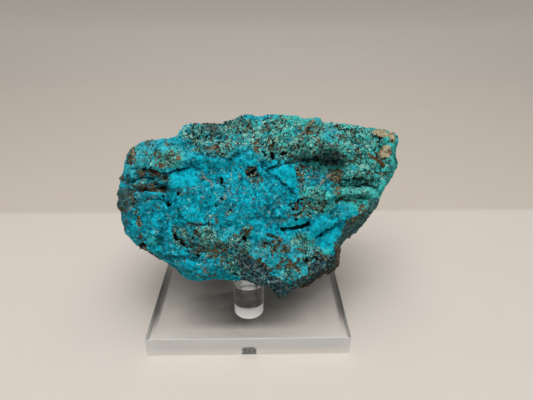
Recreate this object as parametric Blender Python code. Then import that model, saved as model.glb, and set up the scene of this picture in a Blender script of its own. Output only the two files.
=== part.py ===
"""Chrysocolla specimen leaning on a clear acrylic stand with three pegs.

Metres, +Z up. The origin is the centre of the plate's underside and the front is -Y.
"""

import math

import bmesh
import bpy
import numpy as np
from mathutils import Vector, noise

NAME = "chrysocolla_specimen"

STONE_COLOUR = (0.02, 0.42, 0.58)
ACRYLIC_COLOUR = (0.95, 0.96, 0.96)
ACRYLIC_IOR = 1.49

# Stand, in metres
PLATE_SIDE = 0.0825
PLATE_THICKNESS = 0.0090
PLATE_CHAMFER = 0.0004
PEG_RADIUS = 0.00625
PEG_CHAMFER = 0.0005
PEG_SEGMENTS = 48
PEG_ROW = 0.0242
FRONT_PEG_HEIGHT = 0.0152
REAR_PEG_HEIGHT = 0.0290
REAR_PEG_SPREAD = 0.0200
GAP = 0.0003

# Stone, in millimetres in its own leaning frame: u to the right, v up the face, w out of the face
MM = 0.001
STONE_CENTRE = (0.0, -15.0, 57.5)
LEAN = math.radians(30.0)
HUB = (3.0, -1.0)
BACK_HUB = (3.5, 5.5)
BACK_SCALE = (0.86, 0.62)
BACK_W = -33.0
BACK_DOME = 8.0
BACK_ROUNDNESS = 2.2
WALL_SWELL = 2.0
CROWN = (60.0, 4.0, 38.0, 2.5)
WANDER = (5.0, 1.1, 0.9, 0.4)
EDGE_BEND = (1.3, 0.9, 8.0)
EDGE_SPREAD = (0.5, 6.0)
SEAT_MARGIN = 3.6

# How the points of a unit sphere are shared out: z above the first is the front face, z below the
# second is the back, and the wall lies between. The aspect evens out points along a wide face.
FRONT_FROM_Z = -0.22
BACK_FROM_Z = -0.62
FACE_ASPECT = 0.62
SPHERE_CUTS = 27

# Widest line of the stone, clockwise from its left shoulder: u, v, w and the width of the broken edge
# between this line and the front face
OUTLINE = (
    (-49.7, 23.3, -13.0, 4.5),
    (-44.3, 25.6, -12.0, 4.0),
    (-31.1, 26.3, -9.0, 4.0),
    (-25.8, 31.3, -8.0, 4.5),
    (-16.4, 32.8, -8.0, 5.0),
    (-10.5, 32.0, -8.0, 5.0),
    (-7.0, 34.2, -8.0, 5.0),
    (-0.2, 36.3, -8.0, 5.5),
    (6.7, 35.4, -8.0, 5.0),
    (9.3, 36.5, -8.0, 5.0),
    (17.9, 35.3, -8.0, 5.0),
    (23.8, 33.2, -8.0, 4.0),
    (29.8, 34.4, -6.5, 3.0),
    (31.6, 32.6, -8.0, 4.0),
    (41.3, 32.4, -9.0, 5.0),
    (50.1, 30.8, -10.0, 5.0),
    (59.2, 30.7, -11.0, 5.0),
    (62.9, 29.4, -12.0, 5.0),
    (64.4, 26.0, -12.5, 4.0),
    (64.6, 18.6, -14.0, 5.0),
    (63.9, 12.5, -15.0, 5.0),
    (57.1, 2.9, -17.0, 4.0),
    (57.1, -0.3, -18.0, 4.0),
    (52.9, -9.3, -20.0, 8.5),
    (49.2, -13.4, -20.0, 9.0),
    (40.7, -18.7, -19.0, 7.0),
    (38.6, -23.1, -18.0, 5.0),
    (38.1, -27.6, -18.0, 5.5),
    (27.2, -32.7, -14.0, 6.0),
    (22.6, -36.2, -12.0, 6.5),
    (12.9, -41.4, -9.0, 9.0),
    (8.4, -39.2, -8.6, 10.0),
    (4.6, -36.2, -6.0, 9.0),
    (0.9, -34.0, -7.4, 9.5),
    (-7.0, -33.6, -8.6, 10.5),
    (-13.1, -32.7, -11.0, 9.0),
    (-23.6, -34.0, -12.0, 6.0),
    (-28.4, -30.9, -12.0, 5.0),
    (-43.6, -21.0, -14.0, 5.0),
    (-47.0, -19.3, -14.0, 5.0),
    (-53.4, -12.3, -15.0, 5.0),
    (-55.4, -7.9, -15.0, 6.0),
    (-53.9, -5.2, -15.0, 6.0),
    (-57.0, -1.7, -16.0, 7.0),
    (-56.6, 4.5, -16.0, 6.0),
    (-53.0, 17.7, -14.0, 4.5),
)

# Broad swells and hollows of the front face: u, v, half length, half width, turn in degrees, height
SWELLS = (
    (-12.0, 18.5, 15.0, 4.2, 6.0, 2.6),
    (-14.0, 10.5, 16.0, 4.5, -4.0, -1.8),
    (-20.0, 4.0, 9.0, 6.0, 0.0, 1.6),
    (-2.0, -2.0, 13.0, 7.5, -20.0, 2.4),
    (-38.0, 19.5, 9.0, 5.5, 0.0, 2.6),
    (-26.5, 9.0, 4.5, 3.8, 0.0, 1.8),
    (-44.0, -1.5, 6.0, 5.0, 0.0, 1.2),
    (-47.0, -8.0, 5.0, 4.5, 0.0, 2.0),
    (-40.5, -14.0, 6.5, 4.0, -35.0, 1.8),
    (-24.5, -15.0, 15.0, 3.6, -42.0, -3.0),
    (-8.0, -20.5, 11.0, 3.4, -14.0, -3.2),
    (-33.5, -20.5, 6.5, 4.0, -35.0, -2.2),
    (-24.5, -26.0, 5.0, 3.6, -15.0, 3.0),
    (-17.0, -29.5, 6.0, 3.0, 0.0, 1.4),
    (-14.0, -24.0, 4.0, 3.0, 0.0, 1.6),
    (12.0, -21.5, 11.0, 6.5, -38.0, 2.8),
    (8.0, -13.0, 9.0, 4.0, -15.0, 1.2),
    (0.0, 30.0, 24.0, 4.0, 0.0, -1.4),
    (21.0, 25.5, 14.0, 5.0, 0.0, 2.4),
    (31.5, 22.5, 8.0, 3.6, 10.0, 1.6),
    (44.0, 23.5, 12.0, 6.0, -8.0, 1.4),
    (30.5, 14.8, 9.5, 3.6, -8.0, -6.2),
    (38.5, 12.8, 4.5, 2.6, -20.0, -2.8),
    (15.5, 10.8, 4.5, 4.0, -30.0, 2.4),
    (27.0, 8.5, 6.0, 4.0, -20.0, -1.4),
    (45.0, 2.6, 8.0, 1.3, 0.0, 1.8),
    (33.5, 4.0, 4.0, 7.0, -40.0, 1.6),
    (27.0, -2.0, 6.0, 3.5, 0.0, -2.4),
    (45.0, -5.5, 7.0, 3.5, 20.0, 1.4),
    (58.0, 25.0, 4.0, 4.0, 0.0, 1.2),
    (58.0, 19.0, 3.2, 2.2, 0.0, 1.4),
)

# Clefts: start, end, depth, reach above the line (the steep side) and reach below it
CLEFTS = (
    ((36.0, 8.0), (53.5, 7.9), 2.8, 0.8, 1.6),
    ((35.0, 5.4), (53.0, 5.0), 3.0, 0.9, 1.8),
    ((35.5, 0.2), (52.0, 0.9), 2.6, 0.8, 1.8),
    ((31.0, -2.3), (37.0, 1.4), 2.0, 0.8, 1.5),
    ((6.0, 14.4), (20.5, 3.0), 2.2, 0.9, 1.2),
    ((20.5, 3.0), (25.0, -1.5), 1.6, 0.9, 1.6),
    ((8.0, 15.6), (24.0, 18.0), 2.6, 0.8, 2.2),
    ((24.0, 18.0), (40.0, 13.8), 2.4, 0.9, 3.4),
    ((-43.5, 14.0), (-34.0, 12.6), 1.8, 0.7, 1.6),
    ((-34.0, 12.6), (-22.0, 14.4), 1.2, 0.7, 1.2),
    ((-22.0, 14.4), (-24.5, 20.0), 1.0, 0.8, 0.8),
    ((-48.5, 9.2), (-32.0, 9.6), 2.8, 0.8, 1.8),
    ((-46.5, 5.6), (-31.5, 6.0), 3.0, 0.9, 1.9),
    ((-44.5, 0.6), (-31.5, 0.0), 1.6, 0.7, 1.4),
    ((-42.0, -20.0), (-32.0, -26.5), 2.4, 1.0, 1.6),
    ((-32.0, -26.5), (-22.5, -30.6), 1.8, 0.9, 1.4),
    ((12.0, -11.4), (23.0, -9.4), 3.4, 0.8, 2.2),
    ((24.0, -14.5), (37.0, -9.4), 1.4, 0.8, 0.9),
    ((-19.5, -7.4), (-9.5, -6.6), 1.6, 0.7, 1.4),
    ((-28.0, -9.0), (-17.0, -18.0), 1.2, 0.9, 1.2),
)

# Ledges: start, end, height of the ground on the upper side, width of the break, how far it reaches
LEDGES = (
    ((23.0, -15.5), (38.0, -9.0), 2.6, 0.6, 7.0),
    ((-5.5, -17.0), (4.0, -25.6), 1.6, 0.7, 6.0),
    ((-37.0, 12.4), (-21.0, 14.0), 1.2, 0.5, 6.0),
)

# Pits: u, v, radius, depth
PITS = (
    (1.9, 11.6, 2.6, 2.6),
    (4.2, 9.4, 1.8, 1.6),
    (-10.6, 0.6, 1.2, 2.2),
    (-10.1, 7.1, 1.7, 2.0),
    (-32.0, -0.8, 1.9, 2.2),
    (-33.6, 1.6, 1.2, 1.8),
    (-27.0, 2.8, 1.2, 1.4),
    (-18.5, 6.7, 0.9, 1.2),
    (-6.0, -6.0, 1.4, 1.4),
    (-2.0, -14.0, 1.6, 1.8),
    (17.5, -2.2, 2.0, 1.8),
    (-15.5, -20.0, 2.0, 2.2),
    (-22.0, -15.5, 1.8, 2.0),
    (7.5, -15.5, 1.8, 1.4),
    (57.0, 26.6, 1.5, 1.2),
)

# A thin fin that stands up from the face and ends in a spike on the top edge
FIN = ((20.5, 24.5), (30.2, 35.0), 3.4, 1.2)

# Lumpy breakage over the whole skin: size of the lumps and their height
LUMPS = (
    (12.0, 1.1),
    (5.0, 1.1),
    (2.6, 0.75),
)
BACK_LUMPS = (
    (16.0, 2.4),
    (7.0, 1.3),
    (3.2, 0.4),
)

# Flat chips between the lumps: spacing of the chips and how steeply they lie
FRONT_CHIPS = (7.5, 0.22)
BACK_CHIPS = (10.0, 0.24)

# Raggedness of the widest line: size of the notches, their depth in plan and their depth in w
RAGGED = (
    (9.0, 0.9, 2.6),
    (3.6, 0.9, 1.8),
    (1.9, 0.55, 0.8),
)


def clear_scene():
    """Start from an empty file."""
    for obj in list(bpy.data.objects):
        bpy.data.objects.remove(obj, do_unlink=True)
    for block in (bpy.data.meshes, bpy.data.materials, bpy.data.collections):
        for item in list(block):
            block.remove(item)


def principled(name, colour, roughness, transmission=0.0, ior=1.5):
    """A plain Principled material."""
    made = bpy.data.materials.new(name)
    made.use_nodes = True
    shader = made.node_tree.nodes["Principled BSDF"]
    shader.inputs["Base Color"].default_value = (*colour, 1.0)
    shader.inputs["Roughness"].default_value = roughness
    shader.inputs["Transmission Weight"].default_value = transmission
    shader.inputs["IOR"].default_value = ior
    made.diffuse_color = (*colour, 1.0)
    return made


def clear_acrylic(name):
    """Clear, polished acrylic."""
    return principled(name, ACRYLIC_COLOUR, 0.03, 1.0, ACRYLIC_IOR)


def add_piece(name, bm, material, parent):
    """Turn a bmesh into a named object with its own material, beside its parent empty."""
    mesh = bpy.data.meshes.new(name)
    bmesh.ops.recalc_face_normals(bm, faces=bm.faces)
    bm.to_mesh(mesh)
    bm.free()
    obj = bpy.data.objects.new(name, mesh)
    obj.data.materials.append(material)
    obj.parent = parent
    parent.users_collection[0].objects.link(obj)
    return obj


def smoothstep(x):
    """0 below 0, 1 above 1, with a soft start and end."""
    x = np.clip(x, 0.0, 1.0)
    return x * x * (3.0 - 2.0 * x)


def fractal(points, size, seed):
    """Smooth noise of the given lump size, sampled at rows of three coordinates."""
    shift = Vector((seed * 17.3, seed * 5.1, seed * 11.7))
    return np.array([noise.noise(Vector(row) / size + shift) for row in points])


def chips(u, v, spacing, steepness, seed):
    """Height of flat chips, each tilted its own way, laid over the (u, v) plane."""
    rng = np.random.default_rng(seed)
    columns = np.arange(-75.0, 80.0, spacing)
    rows = np.arange(-55.0, 55.0, spacing)
    seeds = np.array([(a, b) for a in columns for b in rows])
    seeds += rng.uniform(-0.45, 0.45, seeds.shape) * spacing
    tilts = rng.uniform(-steepness, steepness, seeds.shape)
    du = u[:, None] - seeds[None, :, 0]
    dv = v[:, None] - seeds[None, :, 1]
    nearest = np.argmin(du * du + dv * dv, axis=1)
    row = np.arange(len(u))
    return tilts[nearest, 0] * du[row, nearest] + tilts[nearest, 1] * dv[row, nearest]


def along(u, v, start, end):
    """Distance along and across a line: t runs 0 to 1 between its ends, side is positive above it."""
    du = end[0] - start[0]
    dv = end[1] - start[1]
    length = math.hypot(du, dv)
    t = ((u - start[0]) * du + (v - start[1]) * dv) / length
    side = (-(u - start[0]) * dv + (v - start[1]) * du) / length
    if du < 0:
        side = -side
    return t, side, length


def relief(u, v):
    """Height of the front face at (u, v) before the broken edge is taken off."""
    size, shift_u, shift_v, turn_rate = WANDER
    wander = fractal(np.stack([u, v, np.full_like(u, 3.0)], axis=1), size, 9)
    u = u + shift_u * wander
    v = v + shift_v * wander * np.cos(u * turn_rate)
    half_width, side_fall, half_height, end_fall = CROWN
    w = -side_fall * ((u - HUB[0]) / half_width) ** 2 - end_fall * (v / half_height) ** 2
    for cu, cv, ru, rv, turn, height in SWELLS:
        c = math.cos(math.radians(turn))
        s = math.sin(math.radians(turn))
        x = ((u - cu) * c + (v - cv) * s) / ru
        y = (-(u - cu) * s + (v - cv) * c) / rv
        w = w + height * np.exp(-((x * x + y * y) ** 1.3))
    for start, end, depth, above, below in CLEFTS:
        t, side, length = along(u, v, start, end)
        over = np.maximum(np.maximum(-t, t - length), 0.0)
        reach = np.where(side > 0.0, above, below)
        fade = np.exp(-((over / 1.6) ** 2))
        w = w - depth * fade * np.exp(-((np.abs(side) / reach) ** 1.6))
    for start, end, height, width, reach in LEDGES:
        t, side, length = along(u, v, start, end)
        over = np.maximum(np.maximum(-t, t - length), 0.0)
        fade = np.exp(-((over / 2.5) ** 2)) * np.exp(-((side / reach) ** 2))
        w = w + height * fade * (smoothstep(side / width + 0.5) - 0.5)
    for cu, cv, radius, depth in PITS:
        d = np.hypot(u - cu, v - cv) / radius
        w = w - depth * (1.0 - smoothstep(d))
    start, end, height, width = FIN
    t, side, length = along(u, v, start, end)
    rise = smoothstep(t / length) * (t < length + 4.0)
    w = w + height * rise * np.exp(-((side / width) ** 2))
    return w


class Rim:
    """The widest line of the stone, read as a function of the direction from the hub."""

    def __init__(self, rows, hub, scale, centre):
        rows = np.array(rows)
        self.u = centre[0] + (rows[:, 0] - hub[0]) * scale[0]
        self.v = centre[1] + (rows[:, 1] - hub[1]) * scale[1]
        self.w = rows[:, 2]
        self.edge = rows[:, 3]
        self.centre = centre

    def at(self, angle):
        """Radius, w and edge width in each direction."""
        radius = np.zeros_like(angle)
        height = np.zeros_like(angle)
        edge = np.zeros_like(angle)
        best = np.zeros_like(angle)
        cu, cv = self.centre
        count = len(self.u)
        for i in range(count):
            j = (i + 1) % count
            au, av = self.u[i] - cu, self.v[i] - cv
            bu, bv = self.u[j] - cu, self.v[j] - cv
            du, dv = np.cos(angle), np.sin(angle)
            cross = du * (bv - av) - dv * (bu - au)
            cross = np.where(np.abs(cross) < 1e-9, 1e-9, cross)
            far = (au * (bv - av) - av * (bu - au)) / cross
            share = (au * dv - av * du) / cross
            hit = (far > best) & (share >= -1e-6) & (share <= 1.000001)
            best = np.where(hit, far, best)
            radius = np.where(hit, far, radius)
            height = np.where(hit, self.w[i] + (self.w[j] - self.w[i]) * share, height)
            edge = np.where(hit, self.edge[i] + (self.edge[j] - self.edge[i]) * share, edge)
        return radius, height, edge


def ragged(radius, rim_w, edge, angle):
    """The widest line with its small notches, and how the broken edge bends beside it."""
    line = np.stack([radius * np.cos(angle), radius * np.sin(angle), np.zeros_like(angle)], axis=1)
    for index, (size, notch, drop) in enumerate(RAGGED):
        radius = radius + notch * fractal(line, size, index + 41)
        rim_w = rim_w + drop * fractal(line, size, index + 51)
    spread, spread_size = EDGE_SPREAD
    edge = edge * (1.0 + spread * fractal(line, spread_size, 61))
    middle, swing, bend_size = EDGE_BEND
    bend = middle + swing * fractal(line, bend_size, 62)
    return radius, rim_w, edge, bend


def polar(hub, radius, angle):
    """Points at a distance and direction from a hub."""
    return hub[0] + radius * np.cos(angle), hub[1] + radius * np.sin(angle)


def front_face(z, angle, radius, rim_w, edge, bend):
    """Points of the front face, and how far each lies into the broken edge."""
    reach = radius * np.sqrt(np.clip((1.0 - z) / (1.0 - FRONT_FROM_Z), 0.0, 1.0))
    u, v = polar(HUB, reach, angle)
    face = relief(u, v)
    cut = np.clip((reach - (radius - edge)) / edge, 0.0, 1.0)
    return np.stack([u, v, face + (rim_w - face) * cut ** bend], axis=1), cut


def wall(z, angle, smooth, rough, back_radius):
    """Points of the wall between the widest line and the back."""
    s = np.clip((FRONT_FROM_Z - z) / (FRONT_FROM_Z - BACK_FROM_Z), 0.0, 1.0)
    fade = (1.0 - s) ** 5
    radius = smooth[0] + (rough[0] - smooth[0]) * fade
    rim_w = smooth[1] + (rough[1] - smooth[1]) * fade
    fu, fv = polar(HUB, radius, angle)
    bu, bv = polar(BACK_HUB, back_radius, angle)
    u, v = polar((fu + (bu - fu) * s, fv + (bv - fv) * s), WALL_SWELL * np.sin(math.pi * s), angle)
    return np.stack([u, v, rim_w + (BACK_W - rim_w) * s], axis=1)


def back_face(z, angle, back_radius):
    """Points of the rounded back."""
    r = np.sqrt(np.clip((1.0 + z) / (1.0 + BACK_FROM_Z), 0.0, 1.0))
    u, v = polar(BACK_HUB, r * back_radius, angle)
    return np.stack([u, v, BACK_W - BACK_DOME * (1.0 - r ** BACK_ROUNDNESS)], axis=1)


def stone_points(directions):
    """Place the points of a unit sphere on the skin of the stone, in its own frame."""
    x, y, z = directions.T
    angle = np.arctan2(y * FACE_ASPECT, x)
    radius, rim_w, edge = Rim(OUTLINE, HUB, (1.0, 1.0), HUB).at(angle)
    back_radius, _, _ = Rim(OUTLINE, HUB, BACK_SCALE, BACK_HUB).at(angle)
    rough_radius, rough_w, edge, bend = ragged(radius, rim_w, edge, angle)

    on_front = z >= FRONT_FROM_Z
    on_back = z <= BACK_FROM_Z
    on_wall = ~on_front & ~on_back
    points, cut = front_face(z, angle, rough_radius, rough_w, edge, bend)
    sides = wall(z, angle, (radius, rim_w), (rough_radius, rough_w), back_radius)
    points[on_wall] = sides[on_wall]
    points[on_back] = back_face(z, angle, back_radius)[on_back]

    front_push = chips(points[:, 0], points[:, 1], *FRONT_CHIPS, 5)
    for index, (size, height) in enumerate(LUMPS):
        front_push += height * fractal(points, size, index + 1)
    back_push = chips(points[:, 0], points[:, 1] + points[:, 2], *BACK_CHIPS, 6)
    for index, (size, height) in enumerate(BACK_LUMPS):
        back_push += height * fractal(points, size, index + 21)
    behind_rim = np.clip((FRONT_FROM_Z + 0.1 - z) / 0.3, 0.0, 1.0)
    push = np.where(on_front, front_push * (1.0 - 0.55 * cut), back_push * behind_rim)
    outward = np.stack([np.cos(angle), np.sin(angle), np.full_like(angle, -0.25)], axis=1)
    straight = np.stack([0.0 * z, 0.0 * z, np.where(on_front, 1.0, -1.0)], axis=1)
    return points + np.where(on_wall[:, None], outward, straight) * push[:, None]


def to_stand(points):
    """From the leaning frame of the stone to the frame of the stand, in millimetres."""
    u, v, w = points.T
    x = STONE_CENTRE[0] + u
    y = STONE_CENTRE[1] + v * math.sin(LEAN) - w * math.cos(LEAN)
    z = STONE_CENTRE[2] + v * math.cos(LEAN) + w * math.sin(LEAN)
    return np.stack([x, y, z], axis=1)


def to_object(points):
    """From the frame of the stand to the specimen's own: x is u, y is -w and z is v."""
    x, y, z = (points - np.array(STONE_CENTRE)).T
    back = y * math.cos(LEAN) - z * math.sin(LEAN)
    up = y * math.sin(LEAN) + z * math.cos(LEAN)
    return np.stack([x, back, up], axis=1)


def peg_places():
    """Name, x, y and height of each peg, in metres."""
    return (
        ("front_peg", 0.0, -PEG_ROW, FRONT_PEG_HEIGHT),
        ("rear_peg_left", -REAR_PEG_SPREAD, PEG_ROW, REAR_PEG_HEIGHT),
        ("rear_peg_right", REAR_PEG_SPREAD, PEG_ROW, REAR_PEG_HEIGHT),
    )


def seat_on_pegs(points):
    """Lift the underside where it rests, so that it clears the top of each peg by the gap."""
    reach = PEG_RADIUS / MM + SEAT_MARGIN
    for _, x, y, height in peg_places():
        top = (PLATE_THICKNESS + GAP + height + GAP) / MM
        near = np.hypot(points[:, 0] - x / MM, points[:, 1] - y / MM) < reach
        points[near, 2] = np.maximum(points[near, 2], top)
    return points


def make_specimen(parent):
    """The stone: a cube-sphere whose points are laid on the stone's skin."""
    bm = bmesh.new()
    bmesh.ops.create_cube(bm, size=2.0)
    bmesh.ops.subdivide_edges(bm, edges=bm.edges[:], cuts=SPHERE_CUTS - 1, use_grid_fill=True)
    directions = np.array([vert.co[:] for vert in bm.verts])
    directions = np.tan(directions * math.pi / 4.0)
    directions /= np.linalg.norm(directions, axis=1)[:, None]
    points = to_object(seat_on_pegs(to_stand(stone_points(directions))))
    for vert, place in zip(bm.verts, points):
        vert.co = Vector(place) * MM
    bmesh.ops.triangulate(bm, faces=bm.faces[:], quad_method="SHORT_EDGE")
    material = principled("chrysocolla", STONE_COLOUR, 0.75)
    obj = add_piece("specimen", bm, material, parent)
    obj.location = Vector(STONE_CENTRE) * MM
    obj.rotation_euler = (-LEAN, 0.0, 0.0)


def make_plate(parent):
    """The square plate, its sharp edges just broken."""
    bm = bmesh.new()
    bmesh.ops.create_cube(bm, size=1.0)
    bmesh.ops.scale(bm, vec=(PLATE_SIDE, PLATE_SIDE, PLATE_THICKNESS), verts=bm.verts[:])
    bmesh.ops.bevel(bm, geom=bm.edges[:], offset=PLATE_CHAMFER, segments=1, affect="EDGES")
    obj = add_piece("base_plate", bm, clear_acrylic("plate_acrylic"), parent)
    obj.location = (0.0, 0.0, PLATE_THICKNESS / 2)


def make_peg(name, x, y, height, parent):
    """A round peg with a chamfered top, standing on the plate."""
    bm = bmesh.new()
    bmesh.ops.create_cone(
        bm,
        cap_ends=True,
        segments=PEG_SEGMENTS,
        radius1=PEG_RADIUS,
        radius2=PEG_RADIUS,
        depth=height,
    )
    top = [edge for edge in bm.edges if all(vert.co.z > 0.0 for vert in edge.verts)]
    bmesh.ops.bevel(bm, geom=top, offset=PEG_CHAMFER, segments=1, affect="EDGES")
    obj = add_piece(name, bm, clear_acrylic(name + "_acrylic"), parent)
    obj.location = (x, y, PLATE_THICKNESS + GAP + height / 2)
    obj.data.shade_smooth()
    obj.data.set_sharp_from_angle(angle=math.radians(30.0))


def build():
    """The whole object, hung on one empty at the centre of the plate's underside."""
    clear_scene()
    collection = bpy.data.collections.new(NAME)
    bpy.context.scene.collection.children.link(collection)
    root = bpy.data.objects.new("stand_origin", None)
    collection.objects.link(root)
    make_specimen(root)
    make_plate(root)
    for name, x, y, height in peg_places():
        make_peg(name, x, y, height, root)


build()
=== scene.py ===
"""Looks for the chrysocolla specimen on its clear stand.

Metres, +Z up, -Y to the front. The stone's own frame leans back: u to the right, v up its face and
w out of its face, in millimetres. Arrays of its points hold x = u, y = -w and z = v.
"""

import math

import bmesh
import bpy
import numpy as np
from mathutils import Matrix, Vector, noise


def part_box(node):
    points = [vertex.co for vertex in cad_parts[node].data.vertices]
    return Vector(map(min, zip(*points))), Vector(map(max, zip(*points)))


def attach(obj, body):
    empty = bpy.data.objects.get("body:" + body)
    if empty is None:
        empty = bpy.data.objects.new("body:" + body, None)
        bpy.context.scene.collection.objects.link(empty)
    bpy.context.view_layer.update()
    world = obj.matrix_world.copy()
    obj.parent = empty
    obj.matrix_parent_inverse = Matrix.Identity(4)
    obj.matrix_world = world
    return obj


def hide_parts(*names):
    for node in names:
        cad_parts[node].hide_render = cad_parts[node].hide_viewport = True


MM = 0.001

# Camera
CAMERA_PLACE = (0.0052, -0.1664, 0.1389)
CAMERA_DOWN = math.radians(28.25)
CAMERA_TURN = math.radians(-0.94)
CAMERA_LENS = 29.1
CAMERA_SENSOR = 36.0
CAMERA_NEAR = 0.01

# Floor, which is darker beyond a soft line behind the object, and paler again far away
FLOOR_SIZE = 8.0
FLOOR_DROP = 0.0002
FLOOR_EDGE_Y = 0.0765
FLOOR_EDGE_SOFT = 0.0025
FLOOR_COLOUR = (0.70, 0.645, 0.585)
BEYOND_COLOUR = (0.615, 0.545, 0.48)
FAR_COLOUR = (0.93, 0.90, 0.83)
FAR_START = 0.1
FAR_END = 1.1
MOTTLE_SIZE = 60.0
MOTTLE_SHARE = 0.05
FLOOR_ROUGHNESS = 0.7
FLOOR_SHINE = 0.2

# Light
WORLD_COLOUR = (1.0, 0.965, 0.92)
WORLD_STRENGTH = 0.38
# Lamps: name, place, size and power
LAMPS = (
    ("key", (-0.05, -0.28, 0.62), 0.45, 1.75),
    ("top", (0.05, 0.0, 0.75), 0.6, 2.3),
)
LAMP_TARGET = (0.0, 0.0, 0.04)

# Stand
PEGS = ("front_peg", "rear_peg_left", "rear_peg_right")
CHAMFER = 0.0004
PEG_SEGMENTS = 96
FOOT_GAP = 0.00002
SHARP_ANGLE = math.radians(20.0)

# Acrylic, in millimetres. Pairs say where a mask starts and where it is full, but for
# SAWN_ROUGHNESS, which is the least roughness and the share of noise added to it.
ACRYLIC_IOR = 1.49
SAWN_ROUGHNESS = (0.35, 0.2)
FRONT_EDGE_ROUGHNESS = 0.3
SMEAR_ROUGHNESS = 0.02
SMEAR_SIZE = 14.0
SAW_SIZE = 0.7
EDGE_BAND = (0.35, 0.05)
FOOT_BAND = (0.12, 0.06)
FOOT_RIM = (0.1, 0.5)
# Painted shade on the plate's underside, seen through the plate: it starts behind the front edge, is
# darkest along the middle and fades towards the sides and the back. A narrow band of it lies along each
# side.
SHADE_FRONT = (-34.5, -25.5)
SHADE_BACK = (-14.0, 4.0)
SHADE_FADE = 0.65
SHADE_UNDER = (0.6, 0.3)
SHADE_MIDDLE = -2.6
SHADE_HALF_WIDTH = 31.0
SHADE_MOST = 0.8
SHADE_LEAST = 0.06
SHADE_MIDDLE_LEAST = 0.18
SHADE_EVERYWHERE = 0.17
SIDE_SHADE_WIDTH = (3.2, 0.8)
SIDE_SHADE_FRONT = (-36.9, -17.0)
SIDE_SHADE_BACK = (30.0, -10.0)
SIDE_SHADE_MOST = 0.66
# Painted shade in the front peg's upper part: how high it starts, and shares of the peg's radius
PEG_SHADE_FROM = (14.0, 14.6)
PEG_SHADE_MIDDLE = 0.5
PEG_SHADE_MORE = 0.45
PEG_SHADE_ACROSS = (0.25, 0.6)
PEG_LIGHT_EDGE = (0.90, 0.96)
PEG_LIGHT_SHARE = 0.8
# The dark spot painted on the front edge, for the peg's foot seen through it: its middle, half size,
# squareness and soft border, and the lower part of that edge, painted warmer and lighter
SPOT_MIDDLE = (0.2, 1.2)
SPOT_HALF_SIZE = 3.2
SPOT_SQUARENESS = 4.0
SPOT_BORDER = (1.35, 0.4)
LOW_FRONT = (4.5, 1.0)
# Colours of the clear body and of its masks, then how much clearness each mask takes away. The
# masks paint shade in the peg and on the frosted sides, a dark spot, a bright reflection on the feet
# and light low on the front
CLEAR = (0.985, 0.99, 0.985)
PEG_PAINTED_SHADE = (0.115, 0.115, 0.105)
SPOT_PAINTED_DARK = (0.02, 0.03, 0.03)
FROST_PAINTED_SHADE = (0.125, 0.125, 0.115)
FOOT_PAINTED_REFLECTION = (1.0, 0.975, 0.93)
LOW_FRONT_PAINTED_LIGHT = (1.0, 0.965, 0.90)
VEIL_SIDE = 0.85
VEIL_FOOT = 0.9
VEIL_BACK = 0.5
VEIL_LOW_FRONT = 0.14
VEIL_FRONT = 0.63

# Stone
STONE_CENTRE = (0.0, -15.0, 57.5)
LEAN = math.radians(30.0)
WELD = 1e-6
VOXEL = 0.00086
SMOOTHING = 2
SMOOTHING_SHARE = 0.5
ROUNDING = 0.6
FINE_MESH_FACING = 0.1
SEAT_GAP = 0.00015
SEAT_MARGIN = 0.0006
# Cosines, to the way the face is looked at: where the front's features and the back's rock begin,
# and how softly
FRONT_FACING = (-0.30, 0.25)
ROCK_FACING = (-0.50, 0.35)

# Sizes of the noises that push features about, in millimetres
BEND_SIZE, WAVE_SIZE, OTHER_WAVE_SIZE, RIPPLE_SIZE = 5.0, 2.1, 2.3, 1.0

# Relief in millimetres: size of each kind of chip or lump, and its height
BIG_CHIPS = (5.5, 0.75)
CHIPS = (2.6, 0.75)
SMALL_CHIPS = (1.3, 0.45)
LUMPS = (2.6, 0.3)
FINE_LUMPS = (0.6, 0.2)
GRAIN_SIZE = 0.9
RIPPLE_HEIGHT = 0.25
RIM_CHIPS = 0.4
# Keeps the tilts of neighbouring chips apart
TILT_SPREAD = 37.0
FACET_SMOOTHING = 0.25
FACET_EDGE = 0.3
CRUST_GRAIN, CRUST_CHIPS = 0.8, 0.55
ROCK_GRAIN, ROCK_CHIPS = 0.25, 0.15
SLAB_SIZE, SLAB_HEIGHT = 1.5, 1.2
SLAB_STRETCH = (0.3, 1.0, 1.0)
SWELLING_HEIGHT, SWELLING_SOFTNESS = 2.6, 0.8
CLEFT_SHARPNESS = 1.8
CLEFT_UNEVENNESS = 0.9
CLEFT_REACH, CLEFT_LEAST_REACH = 0.9, 0.3
CLEFT_LEAST_DEPTH = 0.2
CLEFT_DARK_DEPTH = 1.2
LEDGE_FOOT = 0.6
LEDGE_STEP = 0.35
PIT_SLOPE = 1.3
PIT_FLOOR = 1.5

# Colours of the skin, linear
DEEP_CYAN = (0.0, 0.06, 0.095)
MID_CYAN = (0.0, 0.29, 0.40)
BRIGHT_CYAN = (0.002, 0.69, 0.88)
DEEP_GREEN = (0.008, 0.12, 0.13)
BRIGHT_GREEN = (0.07, 0.73, 0.66)
CRUST_SHADE = (0.006, 0.075, 0.085)
CRUST_TEAL = (0.07, 0.66, 0.64)
BLACK = (0.003, 0.007, 0.008)
GREY_BLUE = (0.19, 0.27, 0.32)
GREY_GREEN = (0.14, 0.34, 0.29)
MINT_SHADE = (0.18, 0.62, 0.54)
MINT_LIGHT = (0.62, 0.95, 0.76)
PAINTED_SHADE_TEAL = (0.004, 0.06, 0.075)
PAINTED_LIGHT_TEAL = (0.16, 0.74, 0.70)
CLEAN_DEEP = (0.0, 0.24, 0.34)
CLEAN_BRIGHT = (0.0, 0.52, 0.70)
CLEAN_SHADE = (0.0, 0.08, 0.12)
EARTH_DARK = (0.045, 0.032, 0.012)
EARTH_LIGHT = (0.22, 0.165, 0.075)
RUST = (0.08, 0.038, 0.013)
PAINTED_LIGHT_SAND = (0.30, 0.205, 0.105)
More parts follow.
